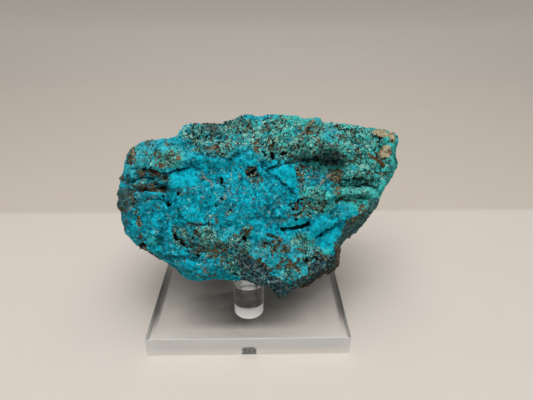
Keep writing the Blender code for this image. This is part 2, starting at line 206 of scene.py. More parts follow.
SEAM = (0.005, 0.012, 0.013)
TAN_DARK = (0.07, 0.05, 0.022)
TAN_LIGHT = (0.34, 0.28, 0.16)
ROCK_BLACK = (0.006, 0.01, 0.012)
ROCK_DARK = (0.034, 0.085, 0.1)
ROCK_LIGHT = (0.11, 0.27, 0.31)
ROCK_GREY = (0.20, 0.24, 0.21)
ROCK_BLUE = (0.0, 0.22, 0.28)
SIDE_DARK = (0.014, 0.038, 0.04)
SIDE_TEAL = (0.042, 0.165, 0.17)
SIDE_LIGHT = (0.12, 0.25, 0.25)
SIDE_BROWN = (0.11, 0.085, 0.055)
SIDE_BLACK = (0.015, 0.024, 0.024)
THREAD_PALE = (0.34, 0.30, 0.18)
THREAD_RUST = (0.085, 0.04, 0.014)
BACK_DARK = (0.045, 0.06, 0.055)
BACK_LIGHT = (0.11, 0.105, 0.08)
BACK_TEAL = (0.04, 0.17, 0.18)
PAINTED_GLINT = (0.40, 0.72, 0.62)
HAIRLINE = (0.30, 0.29, 0.19)
CREAM_SHADE = (0.20, 0.165, 0.085)
CREAM_LIGHT = (0.74, 0.67, 0.45)
CREAM_SPECK = (0.03, 0.035, 0.022)
CREAM_RIM = (0.01, 0.016, 0.014)
ORANGE_DARK = (0.04, 0.02, 0.008)
ORANGE_LIGHT = (0.30, 0.16, 0.06)
VEIN_PALE = (0.36, 0.32, 0.22)
CLEFT_PAINTED_SHADE = (0.006, 0.014, 0.014)
PIT_PAINTED_SHADE = (0.003, 0.004, 0.004)
# The skin's shine, its roughness where dull and where waxy, and the stretch that draws streaks
SKIN_SHINE = 0.1
MATT, WAXY = 0.8, 0.5
STREAK_STRETCH = (0.22, 1.0, 1.0)

# Features are laid out in millimetres on the face's plane, u to the right and v up. They reach the
# relief along straight lines from this point in front of it: u, v, w.
LOOKED_AT_FROM = (5.2, -5.2, 171.8)

# Thin clefts, left to right: depth, how far each opens above and below its line, and the line
CLEFTS = (
    (1.7, 0.35, 0.45, (37.2, 7.6), (41, 7.3), (46, 7.9), (51, 7.2), (52.6, 5.4)),
    (2, 0.35, 0.65, (36, 5.6), (40.5, 5.2), (46, 5.8), (51.2, 4.9), (54.5, 5.8)),
    (1.8, 0.35, 0.45, (34, -2.2), (37.2, 0.2), (40, 0), (45, 0.7), (51, 0.2)),
    (1.5, 0.4, 0.5, (4.6, 15), (7.4, 12.4), (11.6, 8.9), (16.4, 4.9), (21.8, 1)),
    (1.6, 1, 0.35, (5.6, 14.6), (8.6, 12.4), (13.2, 14.3), (23.2, 15.6)),
    (1, 0.3, 0.6, (-44, 12.2), (-40.4, 13.6), (-36.8, 12.9), (-32.4, 11.2), (-26.8, 12.8),
     (-21.6, 13.5)),
    (0.7, 0.35, 0.35, (-26, 21.4), (-24.2, 19.6), (-23.5, 17), (-21.6, 13.7), (-18.8, 12.1),
     (-16.2, 8.2)),
    (1.5, 0.4, 0.5, (-50, 8.2), (-46, 7.6), (-42, 9.4), (-37, 9), (-31, 9.6)),
    (1.9, 0.4, 0.6, (-45.6, 5.2), (-41.5, 4.5), (-37.6, 4.1), (-34, 5), (-31, 5.2)),
    (0.7, 0.3, 0.4, (-45, 0.2), (-40, 0.5), (-36, 0.2), (-33, 0.9)),
    (1.1, 0.6, 0.7, (-41.6, -20.6), (-36, -23.4), (-32, -26), (-27, -28.6)),
    (2, 0.45, 0.9, (12, -11.2), (16, -11.2), (20.8, -10.2), (25.6, -9)),
    (1.5, 0.3, 0.6, (27.6, -14.9), (28.8, -13.7), (31.2, -11.7), (35, -9.9), (39.4, -9.3)),
    (1.2, 0.4, 0.5, (-25.4, -8), (-20.8, -9.3), (-17.2, -9.8), (-14.6, -8.4)),
    (0.9, 0.5, 0.5, (-29.6, -13.4), (-27.2, -15.4), (-25.4, -16), (-24.4, -18.6), (-20.4, -19.2)),
    (0.9, 0.4, 0.4, (-25.2, -12), (-23.6, -14.4), (-22.2, -17), (-21.6, -19.6), (-17, -20.4)),
    (1, 0.4, 0.5, (43, 17), (46.9, 18.2)),
    (0.7, 0.6, 0.6, (31.6, 8.6), (34.6, 4), (35, 0.4)),
    (0.9, 0.4, 0.4, (-18.2, -4.9), (-14.6, -5.3), (-12.6, -5)),
    (1.2, 0.25, 0.9, (20.6, 26), (24, 28.6), (28, 32)),
    (0.9, 0.4, 0.4, (7.4, -14.4), (10.6, -14.6), (13, -15.6)),
    (1.5, 1.2, 0.3, (20, 15.4), (28, 15.4), (34, 14.8), (40, 15.4)),
)

# Ledges, left to right: height, reach and line. The stone stands out above the line and drops
# below it, or the other way round where the height is negative.
LEDGES = (
    (1.1, 3.5, (-48, 12.4), (-40.4, 13.8), (-36.8, 13.1), (-32.4, 11.4), (-26.8, 13), (-21.6, 13.7)),
    (-1.2, 3, (-47, 3.6), (-41, 3.4), (-33, 4.2)),
    (-1.3, 3.2, (36.4, 5.2), (44, 5.4), (52, 4.8)),
    (-0.7, 4, (-24, 19), (-14, 17), (-6, 15.4), (2, 19.4)),
    (0.9, 2.5, (12, -10.9), (20.8, -9.9), (26, -8.8)),
    (0.8, 3, (-36, -20.4), (-30, -21.4), (-22, -22.6), (-12, -22)),
    (1, 3, (23.4, 16.2), (30, 20.4), (36, 20.6), (40.4, 16)),
    (0.9, 4, (-30.9, 11), (-30.5, 4)),
)

# Smoother facets of clean blue: how far each stands out, and its corners
FACETS = (
    (1.1, (29.2, -6.3), (35, -8.9), (31.2, -11.5), (28.6, -13.6), (24.9, -16.3), (23, -14.6)),
    (0.9, (35, -10.6), (37.2, -12.6), (33.6, -20.9), (29.6, -21.2), (28.9, -15.6), (31, -12.6)),
    (0.6, (9.2, 10.9), (15.2, 13.4), (18.4, 12.4), (20.6, 4.2), (17.6, 4.8)),
    (0.5, (-30.2, 12), (-21, 12.6), (-19.6, 5.6), (-29.8, 5.2)),
)

# Thin pale veins: half width and line
VEINS = (
    (0.4, (26.4, 2.9), (30.8, 7.8), (36, 11.7)),
    (0.35, (20.8, 26.1), (24, 29.2), (28, 32.5)),
    (0.36, (-18.8, 12.1), (-17.2, 9.7), (-16, 8.1), (-14.2, 7.2), (-13.4, 4.6)),
    (0.2, (-27.2, 2.6), (-23.4, 3.4)),
    (0.2, (-3.6, 7.7), (-2.4, 10.5)),
    (0.3, (-9.4, 3.6), (-9, 0.6), (-11.4, -0.8)),
    (0.3, (-1.6, 1.6), (-0.4, 3.6), (-1.4, 5.6)),
    (0.22, (9, -18), (10.2, -22), (9.6, -25.4)),
    (0.3, (-18.6, -26), (-17.4, -27.4), (-15.2, -28.4)),
    (0.2, (-17.4, -23.6), (-16.2, -25.4)),
    (0.2, (11, -2), (12.6, -0.4), (13.4, 1.6)),
    (0.2, (21.4, 8), (21.6, 4), (21, 1.6)),
)

# Strings of brown and black dirt: half width and line
STAINS = (
    (0.4, (6.8, -14.3), (9.2, -13.5), (11.6, -15.1), (12.8, -17.1), (11.2, -18.3), (8.4, -17.5),
     (7.2, -15.9)),
    (0.55, (13.2, -17.9), (14.8, -18.7), (16, -20.3), (14.4, -20.7), (13.2, -19.1)),
    (0.42, (11.2, -27.1), (13.2, -24.7), (15.6, -23.5), (18, -24.7)),
    (0.38, (14.4, -27.9), (15.6, -26.3), (17.6, -26.3), (19.6, -24.7), (20.8, -22.3)),
    (0.6, (4, -23.1), (6, -24.7), (7.6, -27.1), (10, -28.3)),
    (0.3, (-0.8, -10.7), (0, -12.7), (-1.2, -15.1)),
    (0.3, (10, -23.1), (9.6, -19.9), (11.6, -18.7)),
    (0.35, (19.6, -19.1), (22, -20.7), (24.4, -19.9)),
    (0.38, (21.2, -23.1), (23.6, -24.7), (26.4, -23.1), (28, -20.7)),
    (0.5, (-42.4, 9.3), (-40.8, 12.1), (-38.8, 12.9), (-36.4, 11.7), (-34.8, 9.7)),
    (0.6, (-47, 14), (-46.4, 17.4), (-44.6, 20)),
    (0.4, (-44, 5.3), (-38.8, 4.5), (-31.6, 5.7)),
    (0.35, (-21.6, -11.3), (-20, -12.4), (-18.4, -13.6)),
    (0.5, (-13.4, -17.4), (-11, -18.4), (-9.2, -20.4)),
    (0.36, (15.2, -3.9), (17.2, -1.5), (20.4, -1.1), (22.8, -3.1), (21.2, -5.5), (17.2, -6.3)),
    (0.34, (25.2, -3.1), (29.2, -4.7), (31.6, -2.3)),
    (0.5, (32.6, 12.4), (35.4, 9.6), (37.4, 5.6)),
    (1.1, (18.4, -34.4), (24, -31.8), (29.6, -28.2), (33.6, -25.4), (35.2, -21), (35.4, -18)),
)

# Holes are ovals: u, v, half width, half height, depth and, for some, a turn in degrees
PITS = (
    (2.2, 12.2, 2, 1.3, 1.3, 35), (0.8, 10.2, 1, 1.4, 1.1, 20), (4.2, 9.8, 0.8, 1, 0.9),
    (-10.2, 0.5, 0.9, 0.9, 1.8), (-10.3, 7.8, 0.9, 1.7, 1.7, 25), (-9.2, 5.9, 0.7, 0.7, 1.1),
    (-31, -1.2, 1.4, 1.2, 1.8), (-33.2, 1.2, 0.8, 1.7, 1.5), (-27.6, 2.7, 1.1, 0.8, 1.2),
    (-18.2, 6.5, 0.6, 0.6, 0.9), (-12.4, -1.9, 0.5, 0.6, 0.7), (-6.6, -4.1, 0.7, 0.45, 0.8),
    (-31.7, -8.7, 0.4, 0.5, 0.7), (-1.2, -15.1, 1.2, 1, 1.5), (-20.2, -21.5, 1.1, 0.9, 1.5),
    (-25.6, -17, 1.7, 1, 1.2, -40), (-28.2, -14.4, 1.4, 0.8, 1.1, -40), (-23, -20.6, 0.9, 0.7, 1),
    (-41.8, -17.6, 1.4, 1.5, 1.2, -40), (-31.4, -25.4, 1.1, 0.9, 1, -40),
    (20.8, -0.4, 1.5, 0.8, 1.3, 20), (18.4, -3.6, 1.1, 0.8, 1.2, -20), (19.4, -8, 0.9, 0.7, 0.8),
    (26.4, -5.4, 0.8, 0.6, 1), (30.2, -5.2, 0.8, 0.5, 0.9, 30), (14.4, -12.6, 1.2, 0.8, 1),
    (7.6, -17.4, 0.7, 0.9, 0.9), (10, -19.2, 0.5, 0.5, 0.7), (23.4, -23.6, 0.8, 0.8, 0.7),
    (26.8, -23.8, 0.8, 0.8, 0.7), (7.2, 18.8, 1.2, 0.6, 1, -40), (10.4, 17.4, 1.1, 1.9, 1.3),
    (14.8, 19, 1.6, 1.1, 1.1, 30), (54, 24.8, 1.2, 0.5, 0.7, -10), (-14.8, 18.6, 0.8, 0.5, 0.6, -20),
    (-9.8, 17.4, 0.9, 0.5, 0.6, -30),
)

# So are the zones of the rim and of the skin, with soft edges, and a strength in place of a depth
SWELLINGS = (  # the rim swells
    (25.5, -31.4, 6, 3.6, 1, 30), (33.6, -26, 6, 4, 0.8, 40),
)
GRANULAR = (  # crust of grains
    (-12, 27, 15, 8, 1, 8), (-15, 22, 9, 4, 0.85, -14), (-2, 27, 12, 6, 1), (-22, 26, 5, 3.5, 0.9, 20),
    (12, 26, 13, 8, 0.95), (13, 18.5, 10, 3, 0.9), (26, 23, 8, 8, 1), (40, 25, 16, 6, 0.95, -8),
    (41, 20, 9, 6, 0.95, -30), (32, 17, 9, 4, 1, -4), (24, 17, 7, 2, 1, 8), (47, 11, 9, 4, 0.8),
    (45, 3, 9, 3, 0.65), (22, 9, 4, 6, 0.8, 10), (29, 11, 6, 4, 0.6), (27, -1, 6, 5, 0.95, -20),
    (22, -5, 6, 3, 0.8), (37, -4, 5, 3, 0.5), (2.2, 11, 3, 3.4, 0.9, 30), (3.6, 6.6, 2.4, 2.4, 0.6),
    (-6.4, -4.6, 1.8, 1.2, 0.8), (-15, -6.6, 2.6, 1.6, 0.7), (-17, -14, 5, 5, 1, -40),
    (-25.5, -14.5, 6, 4, 0.95, -40), (-20, -18.5, 9, 3, 0.95, -24), (-13, -18, 7, 3.4, 1, -10),
    (-4, -22, 6, 4, 0.9, -30), (-44, 4, 5, 7, 0.45), (51, 12, 7, 9, 0.8), (-3, -17.5, 5, 4, 1, -30),
    (-28.5, -20.6, 2.4, 1.8, 0.5), (8, -17.6, 3, 2.6, 0.7), (22, -17, 5.5, 4, 0.8, -20),
    (26, -22.6, 5, 3.6, 1, 30), (18, -28.6, 6, 2.6, 0.8, 30), (0, -11.4, 1.8, 2.6, 0.7),
    (12, -20, 9, 6, 0.25, -20), (14, -14.4, 6, 2, 0.35), (-36, 17, 9, 6, 0.3), (-30, 17, 5, 4, 0.7),
    (-5, -25.5, 6, 5, 0.85, -30),
)
GREEN = (  # greener
    (43, 22, 20, 11, 1, -8), (55, 18, 7, 10, 1), (47, 4, 13, 9, 1), (33, 16, 9, 5, 1),
    (19, 26, 14, 9, 0.8), (-2, 29, 9, 4, 0.6), (-20, 27, 6, 3, 0.6, 20), (28, 0, 8, 6, 0.7, -20),
    (-30.6, 16.8, 6, 3.6, 0.7), (-38, -15.5, 3.6, 2.4, 0.5, -20), (-16.5, -14, 4, 3.6, 0.6),
    (22, -17, 5, 3.6, 0.6), (31, -20.5, 2, 2, 0.6), (40, -4, 6, 3, 0.5, 20), (-5, -25, 5, 4, 0.6, -30),
)
PAINTED_SHADE = (  # painted shade, darker
    (-38, -10, 12, 8, 0.5, -40), (-43, -3.4, 9, 4, 1.1), (-28, -21, 13, 8, 0.9, -30),
    (-20, -20.6, 15, 3.6, 1.3, -4), (-10, -24, 9, 3, 0.7, -10), (-26, 4.6, 6, 2.8, 0.95, -15),
    (6.5, -3.4, 6.5, 3.4, 0.65, -38), (-8, 5, 6, 4, 0.5), (8, 5, 8, 4, 0.4, -45),
    (33, 16.8, 9, 3.6, 1, -6), (13, -8, 5, 3, 1.1), (30, -5, 7, 3.6, 0.9), (29, -12, 8, 5, 0.8, -40),
    (31, 8.4, 7, 3.6, 0.9), (-14, 14, 8, 3, 0.3), (-7, 31.4, 9, 3.4, 1.1), (-13, 27, 12, 4.6, 0.75, 6),
    (58, 14, 5, 10, 0.8),
)
PAINTED_LIGHT = (  # painted light, paler
    (-40, 16.5, 11, 7, 1.3), (-31, 18, 8, 5, 1.2), (-12, 20.6, 8, 2.8, 1, -6), (2, 24, 4, 4, 0.8),
    (14, 18, 12, 2.8, 0.8), (34, 22.4, 14, 3, 0.8), (40, 17, 8, 3, 0.5), (43, 6.4, 8, 5, 1.5),
    (13, -24.6, 9, 5, 1, -30), (3, -20, 6, 3.6, 0.7, -30), (18, -22, 8, 5, 0.8),
    (-38, 7.6, 8, 2.4, 0.7), (-14, -14, 10, 3, 0.6),
)
MINT = (  # mint grains
    (-29.8, 16.4, 3.2, 2.2, 1), (-24.6, 26.4, 2.6, 0.9, 0.9), (-8.6, 22.6, 2, 1.4, 0.7),
    (-2, 28, 2.6, 2, 0.6), (3.6, 24, 2, 2.6, 0.9), (16, 20, 8, 2, 0.6, 6), (43, 8.8, 6, 0.7, 1),
    (45, 3.6, 6, 1.2, 0.9), (44, 12.6, 5, 2, 0.5), (-43, 7.2, 3, 0.6, 1, 10), (-40.6, 1, 2.6, 0.6, 0.8),
    (4, 6.4, 2.6, 1.8, 0.6), (-15, -6.4, 1.8, 1, 1, 20), (-6.8, -5.2, 1.2, 0.7, 0.8),
    (-17.2, -15, 3.6, 3.6, 1, -40), (-24, -13, 4, 2, 0.9, -30), (-28, -17.6, 3, 2, 0.8, -30),
    (-29.4, -20.4, 1.6, 1.4, 0.9), (19.6, -15.4, 2.6, 1.8, 0.8), (25.6, -17.8, 2.8, 2.4, 0.9),
    (-0.6, -18.4, 0.8, 2.4, 0.7, 30), (23.6, -8.6, 2.4, 0.6, 0.8, 20), (27.6, -19.2, 2.4, 2, 0.6),
    (16, -28.4, 4, 1.4, 0.7, 30),
)
SIDE = (  # streaky grey sides
    (43.5, -11.5, 8, 4.6, 1, 38), (52, -4, 4, 5, 0.9, 30), (36, -21, 2.4, 6, 0.9), (-49, 0.4, 5, 5, 1),
)
DARK = (  # dark rock; the last row is painted shade in a hollow
    (4, -29.4, 11.5, 3.6, 1, -42), (-5, -22.6, 5, 2, 0.45, -10), (8, -33.6, 12, 4.2, 1, -24),
    (14, -37, 6, 4, 0.9), (20.6, -33, 7, 2.6, 0.85, 32), (28.4, -26, 6.5, 2.6, 0.95, 36),
    (-52, -1.6, 3.6, 5, 0.6), (-37, -23.6, 9, 1.8, 0.7, -34), (-14.4, 29.4, 2.6, 2.4, 0.9),
    (-48, -9, 2, 3, 0.5), (33.6, 16.6, 8, 3, 0.62, -6),
)
BROWN = (  # rusty dirt
    (-45.6, 18.2, 2.4, 3.6, 1), (-38.8, 23.2, 2.4, 1.2, 0.8), (-31.2, 23.1, 1.6, 0.8, 0.9),
    (-35.4, 18.8, 2, 1.6, 0.75), (-40, 17.6, 5, 2.4, 0.3), (-29.6, 18.9, 1, 0.8, 1),
    (-27.2, 16.7, 0.9, 0.8, 1), (-35, 14.6, 2.6, 0.7, 0.9), (-42, 11.2, 1.8, 1.8, 1, 30),
    (-36, 10.8, 3.6, 1, 0.85, -14), (-48.6, 8.8, 2, 1.2, 1), (-35, 9, 5, 0.7, 0.7),
    (-39, 6.6, 6, 0.8, 0.8, 8), (-38, 4.4, 7.4, 1.2, 0.9), (-46, 3.6, 1.6, 3, 0.7),
    (-38.6, 0.6, 3, 0.6, 0.8), (-36, -3, 3, 0.8, 0.7, 20), (-50.6, -3, 2.6, 1.2, 0.9, -20),
    (-21, -18, 6, 2, 0.45, -24), (-12, -20.6, 5, 1.6, 0.8, -20), (-43, -7, 1.2, 4, 0.9, 8),
    (-44.4, -6.6, 1.6, 0.8, 0.7), (-42, -14.4, 1.2, 2, 0.9, -20), (-41.6, -18.4, 2.4, 1.8, 1, -40),
    (-31, -26, 1.8, 1, 0.9, -40), (-36, -22.6, 6, 0.7, 0.6, -34), (3.6, 8.2, 2.8, 2, 0.75),
    (1.6, 12, 2.6, 1.6, 0.9, 30), (4.4, 21.6, 1.6, 3, 0.8), (-11.6, 19.6, 4, 1, 0.6, -16),
    (21, 9.6, 2.6, 4, 0.55), (24.8, 12.4, 3, 1.6, 0.7), (36, 9.4, 3.4, 2.6, 1, 50),
    (35.6, 4, 1.8, 2.2, 1), (36, -0.6, 3, 0.6, 1, 40), (41, -0.6, 4, 0.6, 0.9, -10),
    (45.6, -4, 2.4, 1.8, 1, -30), (43, -7.6, 6, 1, 0.8, 30), (52.4, 15.4, 3.6, 0.8, 1, -34),
    (26, 28.4, 3, 3, 0.75, 45), (28.4, 24.4, 2, 3, 0.6), (-12, -7.9, 1.2, 0.9, 1),
    (-20.8, -12.9, 1.4, 0.5, 1), (-5.2, -13.9, 1, 0.6, 1), (0.2, -12, 1.2, 1.2, 0.9),
    (-1.6, -14, 1.6, 1.6, 0.6), (-11, -18.6, 2.4, 1.6, 0.5, 20), (-20, -9.4, 4.4, 0.8, 0.8),
    (15.3, -19.4, 1.7, 1, 1, -30), (6.9, -18, 0.8, 1.5, 1), (12.9, -16, 1.2, 0.8, 0.9),
    (9.4, -16.4, 1.4, 0.6, 0.9), (19.6, -3.4, 1.6, 1.2, 0.7), (17, -5.6, 2, 1, 0.7),
    (13.2, -25.6, 0.7, 1.4, 1), (11.8, -27.4, 2, 0.7, 1, -10), (17.4, -26, 1.6, 1.6, 0.9, 45),
    (17.6, -23.6, 1, 0.6, 0.9), (11, -21, 0.6, 1.4, 0.8, 20), (6, -25.4, 3.4, 1.2, 1, -34),
    (1, -22.4, 3, 0.8, 0.8, -30), (27, -31, 13, 1.1, 1, 29), (35.4, -22, 1.3, 4.4, 0.9),
    (30, -22.6, 2, 1.2, 0.8), (-16, -29.6, 6, 0.6, 0.7),
)
CREAM = (  # cream patches
    (53.8, 26.6, 3.4, 1.3, 1, -6), (58.2, 25, 1.5, 2.4, 0.9), (55.6, 19, 2.8, 2.6, 0.85, 20),
    (48.9, 17.9, 0.9, 0.7, 1),
)
ORANGE = (  # orange streak
    (52.2, 15.6, 3.8, 0.6, 0.9, -34),
)
BLUE = (  # clean blue
    (33.6, 26.2, 3.6, 3.4, 0.55), (19.4, 28, 2.2, 1.8, 0.6), (17.2, 24.4, 2.4, 1.4, 0.55),
    (-14, 21, 4, 1.4, 0.55, -10), (-4, 25, 3, 1.6, 0.55, 20), (-24, 23, 3, 1.4, 0.6),
    (8, 26, 3, 2, 0.5), (44, 21, 3, 2, 0.45), (25.2, 0.2, 1.6, 1, 1), (39, -4, 3.6, 3, 0.8),
    (43, 12.6, 1.6, 1, 0.6), (-41, 2.2, 3.4, 1.4, 1), (-35.2, 2.6, 2.2, 1.6, 1), (-38, -2, 4.4, 1.6, 1),
    (-20.8, -15.6, 1.6, 1.6, 1, -40), (-22.4, -25.6, 2.6, 2.2, 1), (16, -25, 2.4, 1.4, 0.9),
    (11.6, -13.4, 3, 1.6, 0.8, 20), (5, -15.6, 3, 2.4, 0.8), (10, -23.6, 2.6, 2.4, 0.8),
    (16.4, -21.6, 1.8, 1.4, 0.8),
)
VEINED = (  # hairlines
    (-14, 3, 14, 10, 1), (8, -2, 12, 12, 0.85), (-20, -25, 10, 4, 0.9), (12, -20, 10, 7, 1, -20),
    (-36, 17, 10, 4, 0.7),
)
LAYERED = (  # streaky layers
    (-41, 6, 10, 8, 1), (45, 3, 9, 7, 0.6), (44, -10, 9, 5, 0.6, 38),
)


def fractal(points, size, seed):
    """Smooth noise of the given lump size, sampled at rows of three coordinates in millimetres."""
    shift = Vector((seed * 17.3, seed * 5.1, seed * 11.7))
    scale = 1.0 / size
    return np.array([noise.noise(Vector(row) * scale + shift) for row in points])


def chips(points, size, seed):
    """Height of small flat chips, each tilted its own way."""
    shift = Vector((seed * 7.1, seed * 3.3, seed * 9.7))
    middle = Vector((0.5, 0.5, 0.5))
    heights = np.empty(len(points))
    for i, row in enumerate(points):
        place = Vector(row) / size + shift
        nearest = noise.voronoi(place)[1][0]
        tilt = noise.cell_vector(nearest * TILT_SPREAD) - middle
        heights[i] = tilt.dot(place - nearest)
    return heights


def smoothstep(x):
    """0 below 0, 1 above 1, with a soft start and end."""
    x = np.clip(x, 0.0, 1.0)
    return x * x * (3.0 - 2.0 * x)


def near_line(u, v, line):
    """Distance to a line of points, 1 above it or -1 below it, and the share of it passed."""
    lengths = [math.dist(start, end) for start, end in zip(line, line[1:])]
    distance = np.full_like(u, np.inf)
    above = np.ones_like(u)
    share = np.zeros_like(u)
    passed = 0.0
    for start, end, length in zip(line, line[1:], lengths):
        du, dv = (end[0] - start[0]) / length, (end[1] - start[1]) / length
        t = np.clip((u - start[0]) * du + (v - start[1]) * dv, 0.0, length)
        off_u, off_v = u - start[0] - t * du, v - start[1] - t * dv
        away = np.hypot(off_u, off_v)
        closer = away < distance
        distance = np.where(closer, away, distance)
        above = np.where(closer, np.where(du * off_v - dv * off_u >= 0.0, 1.0, -1.0), above)
        share = np.where(closer, (passed + t) / sum(lengths), share)
        passed += length
    return distance, above, share


def tapered(share, ends=0.2):
    """Fades a line's feature out towards both its ends."""
    return smoothstep(np.minimum(share, 1.0 - share) / ends)


def inside_polygon(u, v, corners, soft=0.6):
    """1 inside a polygon and 0 outside, with a soft edge."""
    inside = np.zeros(u.shape, bool)
    distance = np.full_like(u, np.inf)
    for start, end in zip(corners, corners[1:] + corners[:1]):
        distance = np.minimum(distance, near_line(u, v, (start, end))[0])
        crosses = (start[1] > v) != (end[1] > v)
        rise = end[1] - start[1] if end[1] != start[1] else 1e-9
        inside ^= crosses & (u < start[0] + (end[0] - start[0]) * (v - start[1]) / rise)
    return smoothstep(0.5 + 0.5 * np.where(inside, distance, -distance) / soft)


def from_oval(u, v, centre_u, centre_v, half_width, half_height, strength, turn=0.0):
    """Distance from an oval's middle, which is 1 on the oval itself, and the oval's strength."""
    c, s = math.cos(math.radians(turn)), math.sin(math.radians(turn))
    across = ((u - centre_u) * c + (v - centre_v) * s) / half_width
    upward = (-(u - centre_u) * s + (v - centre_v) * c) / half_height
    return np.hypot(across, upward), strength


def ovals(u, v, rows, softness=0.35):
    """The strongest of a zone's ovals at each point."""
    most = np.zeros_like(u)
    for row in rows:
        distance, strength = from_oval(u, v, *row)
        inside = smoothstep((1.0 + softness - distance) / (2.0 * softness))
        most = np.maximum(most, strength * inside)
    return most


def lines(u, v, rows):
    """1 along lines, and falling to 0 at four times their half width."""
    most = np.zeros_like(u)
    for half_width, *line in rows:
        distance, _, share = near_line(u, v, line)
        near = np.clip(1.0 - 0.25 * distance / half_width, 0.0, 1.0)
        most = np.maximum(most, tapered(share, 0.1) * near)
    return most


def add_object(name, data):
    """A new object in the scene."""
    obj = bpy.data.objects.new(name, data)
    bpy.context.scene.collection.objects.link(obj)
    return obj


def object_from(name, bm):
    """An object from a bmesh, which is used up."""
    mesh = bpy.data.meshes.new(name)
    bm.to_mesh(mesh)
    bm.free()
    return add_object(name, mesh)


def apply_modifiers(obj):
    """Bake an object's modifiers into its mesh."""
    graph = bpy.context.evaluated_depsgraph_get()
    mesh = bpy.data.meshes.new_from_object(obj.evaluated_get(graph))
    old = obj.data
    obj.modifiers.clear()
    obj.data = mesh
    bpy.data.meshes.remove(old)


def stone_frame():
    """From the stone's own frame to the world."""
    return Matrix.Translation(Vector(STONE_CENTRE) * MM) @ Matrix.Rotation(-LEAN, 4, "X")


def stone_copy(node):
    """A welded, evenly meshed copy of the stone, finer over its front."""
    bm = bmesh.new()
    bm.from_mesh(node.data)
    bmesh.ops.remove_doubles(bm, verts=bm.verts[:], dist=WELD)
    obj = object_from("stone", bm)
    remesh = obj.modifiers.new("even", "REMESH")
    remesh.mode = "VOXEL"
    remesh.voxel_size = VOXEL
    smooth = obj.modifiers.new("soften", "SMOOTH")
    smooth.factor = SMOOTHING_SHARE
    smooth.iterations = SMOOTHING
    apply_modifiers(obj)

    bm = bmesh.new()
    bm.from_mesh(obj.data)
    bm.normal_update()
    from_u, from_v, from_w = LOOKED_AT_FROM
    eye = stone_frame() @ (Vector((from_u, -from_w, from_v)) * MM)
    front = [
        face for face in bm.faces
        if (eye - face.verts[0].co).normalized().dot(face.normal) > FINE_MESH_FACING
    ]
    edges = list({edge for face in front for edge in face.edges})
    bmesh.ops.subdivide_edges(bm, edges=edges, cuts=1, smooth=ROUNDING, use_grid_fill=True)
    bmesh.ops.triangulate(bm, faces=bm.faces[:])
    bm.to_mesh(obj.data)
    bm.free()
    return obj


def in_stone_frame(mesh):
    """Vertex places in millimetres and vertex normals, in the stone's own frame."""
    count = len(mesh.vertices)
    places = np.empty(count * 3, np.float32)
    normals = np.empty(count * 3, np.float32)
    mesh.vertices.foreach_get("co", places)
    mesh.vertex_normals.foreach_get("vector", normals)
    turn = np.array(stone_frame())[:3, :3]
    places = (places.reshape(-1, 3) - np.array(STONE_CENTRE) * MM) @ turn
    return places / MM, normals.reshape(-1, 3) @ turn


def to_world(points):
    """World places in metres of points in the stone's own frame."""
    turn = np.array(stone_frame())[:3, :3]
    return points * MM @ turn.T + np.array(STONE_CENTRE) * MM


def add_layer(mesh, name, values):
    """Store one number a vertex, for the material to read."""
    layer = mesh.attributes.new(name, "FLOAT", "POINT")
    layer.data.foreach_set("value", np.asarray(values, np.float32))


def face_place(points):
    """Where each point lies on the face's plane, looked at from the front."""
    from_u, from_v, from_w = LOOKED_AT_FROM
    reach = from_w / (from_w + points[:, 1])
    return from_u + (points[:, 0] - from_u) * reach, from_v + (points[:, 2] - from_v) * reach


def towards_front(points, normals):
    """Cosine between each normal and the way to where the face is looked at from."""
    from_u, from_v, from_w = LOOKED_AT_FROM
    way = np.array((from_u, -from_w, from_v)) - points
    way /= np.linalg.norm(way, axis=1)[:, None]
    return (way * normals).sum(axis=1)


class Face:
    """The stone's vertices, and where each lies among the features laid out on its face.

    Zones, lines and holes are each laid out on places pushed about by noise, so that their edges
    wander. The seeds keep the noises apart.
    """

    def __init__(self, mesh):
        self.points, self.normals = in_stone_frame(mesh)
        self.facing = towards_front(self.points, self.normals)
        start, soft = FRONT_FACING
        self.front = smoothstep((self.facing - start) / soft)
        bend = fractal(self.points, BEND_SIZE, seed=1)
        self.wave = wave = fractal(self.points, WAVE_SIZE, seed=2)
        self.ripple = ripple = fractal(self.points, RIPPLE_SIZE, seed=3)
        other = fractal(self.points, OTHER_WAVE_SIZE, seed=4)
        self.flat = u, v = face_place(self.points)
        self.for_zones = (
            u + 0.5 * bend + 0.9 * wave + 0.5 * ripple,
            v + 0.4 * bend + 0.9 * other - 0.5 * ripple,
        )
        self.for_lines = u + 0.35 * wave, v + 0.5 * other + 0.25 * ripple
        self.for_holes = u + 0.9 * wave + 0.8 * ripple, v + 0.9 * other - 0.8 * ripple

    def zone(self, rows, softness=0.35):
        """How strongly a zone's ovals cover each point of the front."""
        return ovals(*self.for_zones, rows, softness) * self.front


def facets(face):
    """Where the smooth facets are, and how far they stand out."""
    cover = np.zeros_like(face.front)
    rise = np.zeros_like(face.front)
    for height, *corners in FACETS:
        cover = np.maximum(cover, inside_polygon(*face.for_lines, corners))
        rise = np.maximum(rise, height * inside_polygon(*face.for_lines, corners, FACET_EDGE))
    return cover * face.front, rise * face.front


def cleft_depth(u, v, uneven):
    """How deep the thin clefts cut at each point."""
    deep = np.zeros_like(u)
    uneven = CLEFT_UNEVENNESS * uneven
    for depth, above, below, *line in CLEFTS:
        distance, side, share = near_line(u, v, line)
        reach = np.where(side > 0.0, above, below)
        reach = reach * np.maximum(CLEFT_REACH + uneven, CLEFT_LEAST_REACH)
        cut = depth * tapered(share) * np.exp(-((distance / reach) ** CLEFT_SHARPNESS))
        deep = np.maximum(deep, cut * np.maximum(1.0 + uneven, CLEFT_LEAST_DEPTH))
    return deep


